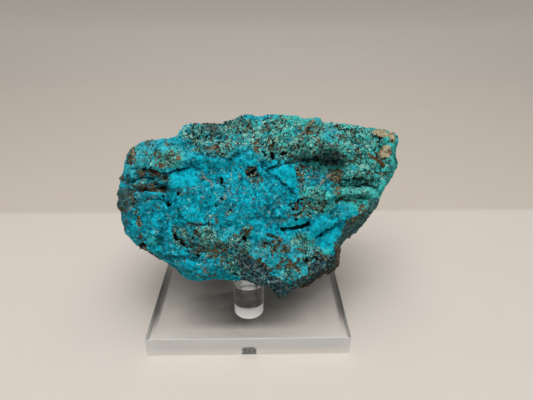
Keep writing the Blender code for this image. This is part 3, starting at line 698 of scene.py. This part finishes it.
def ledge_rise(u, v):
    """How far the ledges stand out, or lie back, at each point."""
    rise = np.zeros_like(u)
    for height, reach, *line in LEDGES:
        distance, side, share = near_line(u, v, line)
        upper = np.exp(-((distance / reach) ** 2))
        lower = -LEDGE_FOOT * np.exp(-((distance / (LEDGE_FOOT * reach)) ** 2))
        step = smoothstep(0.5 + 0.5 * side * distance / LEDGE_STEP)
        rise += height * tapered(share) * (lower + (upper - lower) * step)
    return rise


def pit_depth(u, v):
    """How deep the holes go, and a 0 to 1 mask of their floors, where shade is painted."""
    deep = np.zeros_like(u)
    floor = np.zeros_like(u)
    for row in PITS:
        distance, depth = from_oval(u, v, *row)
        inside = 1.0 - smoothstep(distance / PIT_SLOPE)
        deep = np.maximum(deep, depth * smoothstep(inside * PIT_SLOPE))
        floor = np.maximum(floor, smoothstep(inside * PIT_FLOOR))
    return deep, floor


def relief(face, masks, facet_rise):
    """How far the surface stands out at each point, before clefts and holes are cut."""
    points = face.points
    slabs = chips(points * np.array(SLAB_STRETCH), SLAB_SIZE, seed=11)
    big_chips = chips(points, BIG_CHIPS[0], seed=5)
    broken = chips(points, CHIPS[0], seed=6)
    small = chips(points, SMALL_CHIPS[0], seed=7)
    grain = fractal(points, GRAIN_SIZE, seed=8)
    lumps = 1.0 - 2.0 * np.abs(fractal(points, LUMPS[0], seed=9))
    fine = fractal(points, FINE_LUMPS[0], seed=10)
    rise = BIG_CHIPS[1] * big_chips + CHIPS[1] * broken + SMALL_CHIPS[1] * small
    rise += LUMPS[1] * lumps + FINE_LUMPS[1] * fine + RIPPLE_HEIGHT * face.ripple
    rise += RIM_CHIPS * (1.0 - np.abs(np.clip(face.facing, -1.0, 1.0))) * broken
    rise *= 1.0 - FACET_SMOOTHING * masks["facet"]
    rise += facet_rise
    rise += masks["granular"] * (CRUST_GRAIN * grain + CRUST_CHIPS * small)
    rise += np.maximum(masks["dark"], masks["rock"]) * (ROCK_GRAIN * grain + ROCK_CHIPS * small)
    rise += masks["layered"] * SLAB_HEIGHT * slabs
    rise += ledge_rise(*face.for_lines) * face.front
    rise += SWELLING_HEIGHT * ovals(*face.flat, SWELLINGS, SWELLING_SOFTNESS) * face.front
    return rise


def skin_masks(face, facet):
    """The zones of the skin, each a number at every point: 0 outside it, and mostly 1 within."""
    start, soft = ROCK_FACING
    return {
        "granular": face.zone(GRANULAR) * (1.0 - facet),
        "green": face.zone(GREEN),
        "mint": face.zone(MINT),
        # Zones of painted shade, then of painted light
        "dull": face.zone(PAINTED_SHADE, softness=0.6),
        "light": face.zone(PAINTED_LIGHT, softness=0.6),
        "dark": face.zone(DARK),
        "rock": 1.0 - smoothstep((face.facing - start) / soft),
        "brown": face.zone(BROWN) * (1.0 - 0.8 * facet),
        "cream": face.zone(CREAM, softness=0.25),
        "orange": face.zone(ORANGE, softness=0.25),
        "blue": np.maximum(face.zone(BLUE), 0.5 * facet),
        "facet": facet,
        "layered": face.zone(LAYERED),
        "side": face.zone(SIDE),
        "veined": face.zone(VEINED, softness=0.5) * (1.0 - facet),
        "pale": lines(*face.for_lines, VEINS) * face.front,
        "stained": lines(*face.for_lines, STAINS) * face.front,
    }


def keep_off_pegs(places):
    """Lift the underside where it would dip into the top of a peg."""
    for name in PEGS:
        low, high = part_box(name)
        centre = (low + high) / 2
        radius = (high.x - low.x) / 2 + SEAT_MARGIN
        near = np.hypot(places[:, 0] - centre.x, places[:, 1] - centre.y) < radius
        places[near, 2] = np.maximum(places[near, 2], high.z + SEAT_GAP)


def build_stone(node):
    """The stone: fine relief and the zones of its skin."""
    obj = stone_copy(node)
    mesh = obj.data
    face = Face(mesh)
    facet, facet_rise = facets(face)
    masks = skin_masks(face, facet)
    cleft = cleft_depth(*face.for_lines, face.wave) * face.front
    pit, pit_floor = pit_depth(*face.for_holes)
    pit *= face.front
    uncut = relief(face, masks, facet_rise)
    rise = uncut - (cleft + pit)
    places = to_world(face.points + face.normals * rise[:, None])
    keep_off_pegs(places)
    mesh.vertices.foreach_set("co", places.astype(np.float32).ravel())
    mesh.update()

    # The holes' floors and the clefts get painted shade; the height paints raised parts lighter, low
    # ones darker
    masks["pit"] = pit_floor * face.front
    masks["cleft"] = np.clip(cleft / CLEFT_DARK_DEPTH, 0.0, 1.0)
    masks["height"] = np.clip(0.5 + 0.5 * uncut, 0.0, 1.0)
    for name, values in masks.items():
        add_layer(mesh, name, values)
    mesh.shade_smooth()
    mesh.materials.clear()
    mesh.materials.append(stone_material())
    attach(obj, "root")
    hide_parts("specimen")


class Value:
    """A number in a shader. Arithmetic with it adds the nodes that work it out."""

    def __init__(self, nodes, socket):
        self.nodes = nodes
        self.socket = socket

    def __add__(self, other):
        return self.nodes.math("ADD", self, other)

    def __sub__(self, other):
        return self.nodes.math("SUBTRACT", self, other)

    def __rsub__(self, other):
        return self.nodes.math("SUBTRACT", other, self)

    def __mul__(self, other):
        return self.nodes.math("MULTIPLY", self, other)

    def __truediv__(self, other):
        return self.nodes.math("DIVIDE", self, other)

    def __pow__(self, other):
        return self.nodes.math("POWER", self, other)

    def __abs__(self):
        return self.nodes.math("ABSOLUTE", self, 0.0)

    __radd__ = __add__
    __rmul__ = __mul__

    def step(self, low, high):
        """0 at or below low, 1 at or above high, smooth between. Low may be the greater."""
        inputs = {"Value": self, "From Min": low, "From Max": high}
        made = self.nodes.add("MapRange", inputs, interpolation_type="SMOOTHSTEP")
        return Value(self.nodes, made.outputs["Result"])

    def over(self, level):
        """1 where the value passes a level."""
        return (self - level).step(0.0, 0.02)

    def spread(self, noise_value, amount):
        """A mask with its edge broken up by noise."""
        return self + (noise_value - 0.5) * amount


class Nodes:
    """Short ways to add shader nodes to one material."""

    def __init__(self, name):
        self.material = bpy.data.materials.new(name)
        self.material.use_nodes = True
        self.tree = self.material.node_tree
        self.shader = self.tree.nodes["Principled BSDF"]

    def fill(self, socket, value):
        """Set a socket to a number or colour, or link it to another socket."""
        if isinstance(value, Value):
            value = value.socket
        if isinstance(value, bpy.types.NodeSocket):
            self.tree.links.new(value, socket)
        elif isinstance(value, tuple) and len(value) == 3 and len(socket.default_value) == 4:
            socket.default_value = (*value, 1.0)
        else:
            socket.default_value = value

    def add(self, kind, inputs, **settings):
        """A new node: its settings first, then its inputs, found by name or number."""
        made = self.tree.nodes.new("ShaderNode" + kind)
        for name, value in settings.items():
            setattr(made, name, value)
        for key, value in inputs.items():
            self.fill(made.inputs[key], value)
        return made

    def put(self, name, value):
        """Set or link one of the shader's own inputs."""
        self.fill(self.shader.inputs[name], value)

    def math(self, operation, first, second, clamp=False):
        """Arithmetic with numbers."""
        made = self.add("Math", {0: first, 1: second}, operation=operation, use_clamp=clamp)
        return Value(self, made.outputs[0])

    def most(self, first, *others):
        """The greatest of several numbers."""
        for other in others:
            first = self.math("MAXIMUM", first, other)
        return first

    def vector(self, operation, first, second):
        """Arithmetic with vectors. To scale one, the second is a number."""
        second_input = "Scale" if operation == "SCALE" else 1
        made = self.add("VectorMath", {0: first, second_input: second}, operation=operation)
        return made.outputs["Value" if operation == "DOT_PRODUCT" else "Vector"]

    def mix(self, share, first, second):
        """A colour between two others."""
        return self.add("Mix", {0: share, 6: first, 7: second}, data_type="RGBA").outputs[2]

    def speckled(self, colour, *specks):
        """A colour with others over it, each from where a value is low to where it is high."""
        for value, low, high, speck in specks:
            colour = self.mix(value.step(low, high), colour, speck)
        return colour

    def place(self):
        """Object coordinates in millimetres."""
        return self.vector("SCALE", self.add("TexCoord", {}).outputs["Object"], 1.0 / MM)

    def parts(self, vector):
        """The three numbers of a vector."""
        return tuple(Value(self, part) for part in self.add("SeparateXYZ", {0: vector}).outputs)

    def layer(self, name):
        """A number stored at each vertex."""
        return Value(self, self.add("Attribute", {}, attribute_name=name).outputs["Fac"])

    def shifted(self, vector, amount):
        """The same coordinates moved, to draw a different noise."""
        return self.vector("ADD", vector, (amount, -0.7 * amount, 1.3 * amount))

    def noise_node(self, vector, size, detail, roughness, distortion):
        """A noise whose features are about the given size in millimetres."""
        inputs = {
            "Vector": vector, "Scale": 1.0 / size, "Detail": detail, "Roughness": roughness,
            "Distortion": distortion,
        }
        return self.add("TexNoise", inputs)

    def noise(self, vector, size, detail, roughness, distortion=0.0, shift=0.0):
        """A noise's value, mostly between 0.3 and 0.7."""
        if shift:
            vector = self.shifted(vector, shift)
        return Value(self, self.noise_node(vector, size, detail, roughness, distortion).outputs["Fac"])

    def warped(self, vector, size, amount):
        """Coordinates pushed about by noise, in millimetres."""
        push = self.noise_node(vector, size, 2.0, 0.5, 0.0).outputs["Color"]
        return self.vector("ADD", vector, self.vector("SCALE", push, amount))

    def streaks(self, vector, size, roughness, climb=0.0):
        """Noise drawn out to streaks, which climb to the right by an angle in degrees."""
        if climb:
            inputs = {"Vector": vector, "Angle": math.radians(climb)}
            vector = self.add("VectorRotate", inputs, rotation_type="Y_AXIS").outputs["Vector"]
        return self.noise(self.vector("MULTIPLY", vector, STREAK_STRETCH), size, 3.0, roughness)

    def tilted(self, vector, size):
        """Height, in millimetres, of flat grains each tilted its own way."""
        cell = self.add("TexVoronoi", {"Vector": vector, "Scale": 1.0 / size})
        lean = self.vector("SUBTRACT", cell.outputs["Color"], (0.5, 0.5, 0.5))
        offset = self.vector("SUBTRACT", vector, cell.outputs["Position"])
        return Value(self, self.vector("DOT_PRODUCT", lean, offset))


class Skin(Nodes):
    """The stone's material: the noises its markings share, and the colour laid down so far."""

    def __init__(self):
        super().__init__("chrysocolla")
        self.at = self.place()
        self.crumbled = self.warped(self.at, 1.3, 0.9)
        broad = self.noise(self.at, 7.0, 3.0, 0.55)
        self.middle = self.noise(self.at, 2.0, 4.0, 0.65, shift=31.0)
        self.fine = self.noise(self.crumbled, 0.45, 3.0, 0.75, shift=57.0)
        self.dirt = self.noise(self.at, 1.2, 5.0, 0.8, shift=137.0)
        self.stain = self.noise(self.at, 3.2, 4.0, 0.7, shift=83.0)
        self.speckle = self.noise(self.crumbled, 1.1, 4.0, 0.75, shift=43.0)
        self.grey_grain = self.grain(1.7, 229.0)
        self.dark_grain = 1.0 - self.grain(1.6, 211.0)
        self.brown_grain = self.grain(1.6, 283.0)
        self.facet = self.layer("facet")
        self.brown = self.layer("brown")
        self.granular = self.layer("granular")
        self.veined = self.layer("veined")
        # Partly painted light and shade: the tone is lighter on raised parts of the relief, darker on
        # low ones
        tone = 0.65 * self.middle + 0.3 * broad + 0.8 * self.speckle + 0.35 * self.layer("height")
        self.tone = tone - 0.54
        # Grains of the crust bunch together where dirt and stain are strong
        bunched = 1.4 * self.dirt + 1.4 * self.stain
        self.grainy = self.most(1.15 * self.granular + bunched - 1.54, 0.0)
        self.brown_spread = self.brown.spread(self.dirt, 1.3)
        self.colour = BLACK

    def grain(self, size, shift):
        """Noise for scattered grains."""
        return self.noise(self.crumbled, size, 2.0, 0.6, 0.4, shift)

    def cover(self, name, noise_value, amount, low, high):
        """Where a stored mask reaches, with its edge broken up by noise."""
        return self.layer(name).spread(noise_value, amount).step(low, high)

    def lay(self, share, colour):
        """Lay a colour over what is there."""
        self.colour = self.mix(share, self.colour, colour)


def lay_ground(n):
    """Waxy cyan, green in its zones."""
    cyan = n.speckled(DEEP_CYAN, (n.tone, 0.30, 0.48, MID_CYAN), (n.tone, 0.48, 0.70, BRIGHT_CYAN))
    green = n.speckled(DEEP_GREEN, (n.tone, 0.32, 0.64, BRIGHT_GREEN))
    n.colour = n.mix(n.cover("green", n.speckle, 1.6, 0.25, 0.75), cyan, green)


def lay_crust(n):
    """Teal crust of grey, black and mint grains. The mint ones have dark rims."""
    crusted = n.grainy.step(0.2, 0.9)
    n.lay(n.middle.step(0.56, 0.44) * crusted * 0.35, CRUST_SHADE)
    n.lay(crusted * 0.3, CRUST_TEAL)
    grey = n.mix(n.layer("green"), GREY_BLUE, GREY_GREEN)
    n.lay(n.grey_grain.over(0.74 - 0.155 * n.grainy) * 0.8, grey)
    n.lay(n.dark_grain.over(0.705 - 0.175 * n.grainy), BLACK)
    mint_grain = n.grain(1.5, 257.0)
    easier = 0.135 * n.grainy + 0.07 * n.layer("mint").spread(n.dirt, 0.8)
    pale_mint = n.speckled(MINT_SHADE, (n.fine, 0.40, 0.65, MINT_LIGHT))
    n.lay(mint_grain.over(0.662 - easier) * 0.5, BLACK)
    n.lay(mint_grain.over(0.687 - easier), pale_mint)


def lay_tints(n):
    """Painted shade in darker zones, painted light in paler ones, and cleaner patches of blue."""
    n.lay(n.layer("dull") * n.middle.step(0.64, 0.44) * 0.6, PAINTED_SHADE_TEAL)
    n.lay(n.layer("light") * n.speckle.step(0.44, 0.56) * 0.5, PAINTED_LIGHT_TEAL)
    clean = n.speckled(
        CLEAN_DEEP, (n.tone, 0.32, 0.64, CLEAN_BRIGHT), (n.tone, 0.34, 0.24, CLEAN_SHADE)
    )
    n.lay(n.cover("blue", n.dirt, 1.6, 0.42, 0.50) * 0.6, clean)


def lay_bands(n):
    """Streaky layered ground: dark seams and tan bands."""
    streak = n.streaks(n.shifted(n.crumbled, 19.0), 1.5, 0.6)
    layered = n.layer("layered")
    n.lay(streak.step(0.45, 0.41) * layered * 0.9, SEAM)
    banded = (0.6 * layered + 0.6 * n.brown_spread).step(0.5, 0.8)
    n.lay(streak.step(0.555, 0.585) * banded, n.mix(n.fine, TAN_DARK, TAN_LIGHT))


def lay_rock(n):
    """Dark rock with a salt-and-pepper grain, and the streaky grey sides."""
    pepper = n.noise(n.crumbled, 1.25, 3.0, 0.7, 0.4, shift=307.0)
    rock = n.speckled(
        ROCK_BLACK, (pepper, 0.44, 0.48, ROCK_DARK), (pepper, 0.54, 0.58, ROCK_LIGHT),
        (n.grey_grain, 0.60, 0.63, ROCK_GREY), (n.brown_grain, 0.62, 0.65, ROCK_BLUE),
    )
    n.lay(n.cover("dark", n.middle, 1.4, 0.45, 0.62), rock)
    streak = n.streaks(n.shifted(n.crumbled, 97.0), 1.3, 0.65, climb=38.0)
    side = n.speckled(
        SIDE_DARK, (streak, 0.38, 0.48, SIDE_TEAL), (streak, 0.54, 0.60, SIDE_LIGHT),
        (n.stain, 0.60, 0.63, SIDE_BROWN), (pepper, 0.40, 0.37, SIDE_BLACK),
    )
    n.lay(n.cover("side", n.middle, 1.2, 0.4, 0.6), side)


def lay_dirt(n):
    """Brown grains with dark rims, and broken strings of dirt around the patches of blue."""
    earth = n.speckled(EARTH_DARK, (n.fine, 0.40, 0.60, EARTH_LIGHT), (n.stain, 0.53, 0.58, RUST))
    # Painted light: the earth is paler and sandier in the lighter zones
    earth = n.mix(n.layer("light") * n.fine.step(0.35, 0.55), earth, PAINTED_LIGHT_SAND)
    brown, grainy = n.brown_spread, n.grainy
    rim = n.brown_grain.over(0.67 - 0.05 * grainy - 0.24 * brown)
    n.lay(rim * brown.step(0.1, 0.4) * 0.65, BLACK)
    n.lay(n.brown_grain.over(0.74 - 0.05 * grainy - 0.25 * brown), earth)

    winding = n.noise(n.warped(n.at, 1.8, 0.7), 5.0, 2.0, 0.6, 0.8, shift=331.0)
    off_string = abs(winding - 0.5)
    dirty = 0.9 * n.brown + 0.45 * n.granular + 2.4 * n.dirt
    n.lay(off_string.step(0.034, 0.024) * dirty.step(1.45, 1.6), BLACK)
    stained = n.layer("stained").spread(n.dirt, 2.4)
    n.lay(stained.step(0.62, 0.68), BLACK)
    n.lay(stained.step(0.88, 0.94), earth)
    broken = dirty - 1.7 * n.dirt + 1.7 * n.stain + 0.25 * n.veined
    thread = n.speckled(THREAD_PALE, (n.stain, 0.47, 0.53, THREAD_RUST))
    n.lay(off_string.step(0.016, 0.010) * broken.step(1.46, 1.56), thread)


def lay_back(n):
    """The dull matrix of the back."""
    back = n.speckled(BACK_DARK, (n.middle, 0.4, 0.6, BACK_LIGHT), (n.tone, 0.5, 0.62, BACK_TEAL))
    n.lay(n.layer("rock"), back)


def lay_pale_marks(n):
    """Painted glints: pale specks over the blue; hairlines, cream and orange patches, and veins."""
    painted_glint = n.grain(1.4, 359.0).step(0.625, 0.65) * n.dirt.step(0.50, 0.56)
    n.lay(painted_glint * (0.75 - 0.75 * n.facet), PAINTED_GLINT)
    winding = n.noise(n.at, 6.0, 3.0, 0.6, 0.8, shift=163.0)
    hairline = abs(winding - 0.5).step(0.006, 0.003) * n.veined.step(0.3, 0.7)
    n.lay(hairline * n.stain.step(0.50, 0.54) * 0.85, HAIRLINE)
    cream_grain = 0.6 * n.fine + 0.4 * n.middle
    cream = n.speckled(
        CREAM_SHADE, (cream_grain, 0.42, 0.58, CREAM_LIGHT), (n.dark_grain, 0.60, 0.63, CREAM_SPECK)
    )
    creamy = n.layer("cream").spread(n.dirt, 1.8)
    n.lay(creamy.step(0.34, 0.42) * 0.7, CREAM_RIM)
    n.lay(creamy.step(0.50, 0.58), cream)
    n.lay(n.cover("orange", n.fine, 1.2, 0.45, 0.6), n.mix(n.fine, ORANGE_DARK, ORANGE_LIGHT))
    pale = n.layer("pale").spread(n.dirt, 1.6)
    n.lay(pale.step(0.66, 0.76) * 0.4, BLACK)
    n.lay(pale.step(0.80, 0.86), VEIN_PALE)


def lay_hollows(n):
    """Painted shade in clefts and holes."""
    n.lay(n.cover("cleft", n.fine, 0.5, 0.42, 0.62) * 0.6, CLEFT_PAINTED_SHADE)
    n.lay(n.cover("pit", n.fine, 0.8, 0.42, 0.52), PIT_PAINTED_SHADE)


def finish_skin(n):
    """Put the colour, the gloss and the finest relief on the shader."""
    n.put("Base Color", n.colour)
    n.put("Specular IOR Level", SKIN_SHINE)
    n.put("Roughness", n.mix(n.tone.step(0.4, 0.6), (MATT,) * 3, (WAXY,) * 3))
    chipped = 0.5 * n.tilted(n.at, 3.6) + 0.65 * n.tilted(n.at, 1.7)
    chipped += 0.75 * n.tilted(n.shifted(n.crumbled, 71.0), 0.85)
    height = 0.12 * n.fine + 0.5 * n.speckle + chipped * (1.0 - 0.3 * n.facet)
    bump = n.add("Bump", {"Strength": 1.0, "Distance": MM, "Height": height})
    n.put("Normal", bump.outputs["Normal"])


def stone_material():
    """Chrysocolla: waxy cyan, teal crust, rusty dirt, pale veins and dark rock, laid down in turn."""
    n = Skin()
    for lay in (
        lay_ground, lay_crust, lay_tints, lay_bands, lay_rock, lay_dirt, lay_back, lay_pale_marks,
        lay_hollows, finish_skin,
    ):
        lay(n)
    return n.material


class Acrylic(Nodes):
    """The stand's clear acrylic. Its masks are laid out from the solids' own boxes, in millimetres."""

    def __init__(self):
        super().__init__("clear_acrylic")
        self.at = self.place()
        self.across, self.along, self.up = self.parts(self.at)
        self.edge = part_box("base_plate")[1].x / MM
        self.saw = self.noise(self.at, SAW_SIZE, 2.0, 0.6)
        self.on_side = self.at_edge(abs(self.across))
        self.on_back = self.at_edge(self.along)
        self.on_front = self.at_edge(-1.0 * self.along)
        self.low_front = self.on_front * self.up.step(*LOW_FRONT)
        self.foot = self.feet()
        self.side_shade = self.along.step(*SIDE_SHADE_FRONT) * self.along.step(*SIDE_SHADE_BACK)
        self.frost_and_shade = self.on_side * self.side_shade

    def at_edge(self, place):
        """1 on the plate's outermost skin on one side."""
        start, full = EDGE_BAND
        return place.step(self.edge - start, self.edge - full)

    def feet(self):
        """1 on the underside of each peg, where it meets the plate."""
        feet = []
        for name in PEGS:
            low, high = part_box(name)
            radius = (high.x - low.x) / 2 / MM
            off = self.across - (low.x + high.x) / 2 / MM
            back = self.along - (low.y + high.y) / 2 / MM
            away = (off * off + back * back) ** 0.5
            feet.append(away.step(radius - FOOT_RIM[0], radius - FOOT_RIM[1]))
        plate_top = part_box("base_plate")[1].z / MM
        return abs(self.up - plate_top).step(*FOOT_BAND) * self.most(*feet)

    def let_lamps_through(self):
        """Clear to lamp light, so that what stands behind it is lit."""
        from_lamp = self.add("LightPath", {}).outputs["Is Shadow Ray"]
        clear = self.add("BsdfTransparent", {}).outputs[0]
        choose = self.add("MixShader", {0: from_lamp, 1: self.shader.outputs[0], 2: clear})
        self.fill(self.tree.nodes["Material Output"].inputs["Surface"], choose.outputs[0])


def acrylic_roughness(n):
    """Polished, but for the sawn edges and the feet."""
    smear = n.noise(n.at, SMEAR_SIZE, 3.0, 0.6).step(0.4, 0.8)
    polished = smear * SMEAR_ROUGHNESS + n.on_front * FRONT_EDGE_ROUGHNESS
    least, more = SAWN_ROUGHNESS
    return n.mix(n.most(n.on_side, n.on_back, n.foot), polished, n.saw * more + least)


def clearness_under_painted_shade(n):
    """How much light the plate's underside lets by. Shade is painted in: beneath the stone it is
    darker.
    """
    from_middle = abs(n.across - SHADE_MIDDLE) / SHADE_HALF_WIDTH
    middle = n.math("SUBTRACT", 1.0, from_middle, clamp=True)
    fade = 1.0 - n.along.step(*SHADE_BACK) * SHADE_FADE
    shade = n.most(middle * SHADE_MOST * fade, SHADE_LEAST) * n.along.step(*SHADE_FRONT)
    wide, narrow = SIDE_SHADE_WIDTH
    by_side = abs(n.across).step(n.edge - wide, n.edge - narrow) * n.side_shade * SIDE_SHADE_MOST
    shade = n.most(shade, middle * SHADE_MIDDLE_LEAST, by_side)
    shade = shade * (1.0 - SHADE_EVERYWHERE) + SHADE_EVERYWHERE
    return 1.0 - shade * n.up.step(*SHADE_UNDER)


def peg_shade(n):
    """Painted shade of the stone seen in the front peg's upper part, but for a thin light line at each
    edge.
    """
    low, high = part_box("front_peg")
    radius = (high.x - low.x) / 2 / MM
    off = abs((n.across - (high.x + low.x) / 2 / MM) / radius)
    shade = off.step(*PEG_SHADE_ACROSS) * PEG_SHADE_MORE + PEG_SHADE_MIDDLE
    shade *= 1.0 - off.step(*PEG_LIGHT_EDGE) * PEG_LIGHT_SHARE
    return shade * n.up.step(*PEG_SHADE_FROM)


def front_spot(n):
    """A dark spot painted on the front edge, for the front peg's foot seen through it."""
    middle_x, middle_z = SPOT_MIDDLE
    off_x = abs((n.across - middle_x) / SPOT_HALF_SIZE)
    off_z = abs((n.up - middle_z) / SPOT_HALF_SIZE)
    off = off_x ** SPOT_SQUARENESS + off_z ** SPOT_SQUARENESS
    return off.step(*SPOT_BORDER) * n.on_front


def acrylic_material():
    """Clear acrylic: polished faces, with the plate's sawn edges and the pegs' feet left satin."""
    n = Acrylic()
    n.put("Roughness", acrylic_roughness(n))
    n.put("IOR", ACRYLIC_IOR)
    # Each crossing tints light by the root of the colour, so the colour is the clearness squared; the
    # painted shade darkens it
    clear = clearness_under_painted_shade(n)
    glass = n.mix(clear * clear, (0.0, 0.0, 0.0), CLEAR)
    spot = front_spot(n)
    # Sawn sides scatter light instead of letting it through, and shade is painted on them, most towards
    # the back
    for share, colour in (
        (peg_shade(n), PEG_PAINTED_SHADE),
        (spot * n.saw.step(0.0, 0.7), SPOT_PAINTED_DARK),
        (n.frost_and_shade, FROST_PAINTED_SHADE),
        (n.foot, FOOT_PAINTED_REFLECTION),
        (n.low_front * (1.0 - spot), LOW_FRONT_PAINTED_LIGHT),
    ):
        glass = n.mix(share, glass, colour)
    n.put("Base Color", glass)
    veil = n.frost_and_shade * VEIL_SIDE + n.foot * VEIL_FOOT + n.on_back * VEIL_BACK
    veil += n.low_front * VEIL_LOW_FRONT
    veil = n.math("ADD", veil, n.on_front * VEIL_FRONT, clamp=True)
    n.put("Transmission Weight", 1.0 - veil)
    n.let_lamps_through()
    return n.material


def bevelled(bm, edges):
    """Break sharp edges with a small two-step chamfer."""
    bmesh.ops.bevel(bm, geom=edges, offset=CHAMFER, segments=2, profile=0.5, affect="EDGES")


def add_rod(bm, low, high, bottom):
    """An upright rod filling a box's width, its top edge softened."""
    made = bmesh.new()
    radius = (high.x - low.x) / 2
    size = {"radius1": radius, "radius2": radius, "depth": high.z - bottom}
    bmesh.ops.create_cone(made, cap_ends=True, segments=PEG_SEGMENTS, **size)
    bevelled(made, [edge for edge in made.edges if all(vert.co.z > 0 for vert in edge.verts)])
    centre = ((low.x + high.x) / 2, (low.y + high.y) / 2, (high.z + bottom) / 2)
    bmesh.ops.translate(made, vec=centre, verts=made.verts[:])
    rod = bpy.data.meshes.new("rod")
    made.to_mesh(rod)
    made.free()
    bm.from_mesh(rod)
    bpy.data.meshes.remove(rod)


def build_stand():
    """The clear stand: a plate and three pegs."""
    low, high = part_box("base_plate")
    bm = bmesh.new()
    bmesh.ops.create_cube(bm, size=1.0)
    bmesh.ops.scale(bm, vec=high - low, verts=bm.verts[:])
    bevelled(bm, bm.edges[:])
    bmesh.ops.translate(bm, vec=(low + high) / 2, verts=bm.verts[:])
    for name in PEGS:
        add_rod(bm, *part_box(name), high.z + FOOT_GAP)
    stand = object_from("clear_stand", bm)
    stand.data.shade_smooth()
    stand.data.set_sharp_from_angle(angle=SHARP_ANGLE)
    stand.data.materials.append(acrylic_material())
    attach(stand, "root")
    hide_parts("base_plate", *PEGS)


def floor_material():
    """A matt pale surface, a shade darker beyond a soft line behind the object."""
    n = Nodes("floor")
    place = n.place()
    along = n.parts(place)[1]
    beyond = along.step((FLOOR_EDGE_Y - FLOOR_EDGE_SOFT) / MM, (FLOOR_EDGE_Y + FLOOR_EDGE_SOFT) / MM)
    far = along.step(FAR_START / MM, FAR_END / MM)
    colour = n.mix(beyond, FLOOR_COLOUR, n.mix(far, BEYOND_COLOUR, FAR_COLOUR))
    darker = n.mix(MOTTLE_SHARE, colour, (0.0, 0.0, 0.0))
    n.put("Base Color", n.mix(n.noise(place, MOTTLE_SIZE, 5.0, 0.6), darker, colour))
    n.put("Roughness", FLOOR_ROUGHNESS)
    n.put("Specular IOR Level", FLOOR_SHINE)
    return n.material


def build_stage():
    """A plain pale floor, a hair below the plate."""
    bpy.ops.mesh.primitive_plane_add(size=FLOOR_SIZE, location=(0.0, 0.0, -FLOOR_DROP))
    floor = bpy.context.active_object
    floor.name = "floor"
    floor.data.materials.append(floor_material())


def area_light(name, place, size, power):
    """A soft square light aimed at the object, and not seen through the acrylic."""
    light = bpy.data.lights.new(name, "AREA")
    light.size = size
    light.energy = power
    obj = add_object(name, light)
    obj.location = place
    obj.rotation_euler = (Vector(LAMP_TARGET) - Vector(place)).to_track_quat("-Z", "Y").to_euler()
    obj.visible_transmission = False


def build_light():
    """Soft room light from above and a little in front."""
    world = bpy.data.worlds.new("room")
    world.use_nodes = True
    background = world.node_tree.nodes["Background"]
    background.inputs["Color"].default_value = (*WORLD_COLOUR, 1.0)
    background.inputs["Strength"].default_value = WORLD_STRENGTH
    bpy.context.scene.world = world
    for lamp in LAMPS:
        area_light(*lamp)


def build_camera():
    """The camera, a little above and in front, looking down on the stone's face."""
    camera = bpy.data.cameras.new("camera")
    camera.lens = CAMERA_LENS
    camera.sensor_width = CAMERA_SENSOR
    camera.clip_start = CAMERA_NEAR
    obj = add_object("camera", camera)
    obj.location = CAMERA_PLACE
    obj.rotation_euler = (math.radians(90.0) - CAMERA_DOWN, 0.0, CAMERA_TURN)
    bpy.context.scene.camera = obj


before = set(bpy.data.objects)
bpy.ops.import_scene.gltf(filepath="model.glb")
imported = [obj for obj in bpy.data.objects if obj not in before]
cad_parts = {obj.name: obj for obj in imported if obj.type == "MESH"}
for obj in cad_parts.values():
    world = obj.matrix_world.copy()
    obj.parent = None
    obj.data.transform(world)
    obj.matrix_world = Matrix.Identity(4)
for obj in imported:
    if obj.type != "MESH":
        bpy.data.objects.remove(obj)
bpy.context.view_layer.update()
build_camera()
build_light()
build_stage()
build_stone(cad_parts["specimen"])
build_stand()
bpy.context.scene.view_settings.view_transform = "Standard"
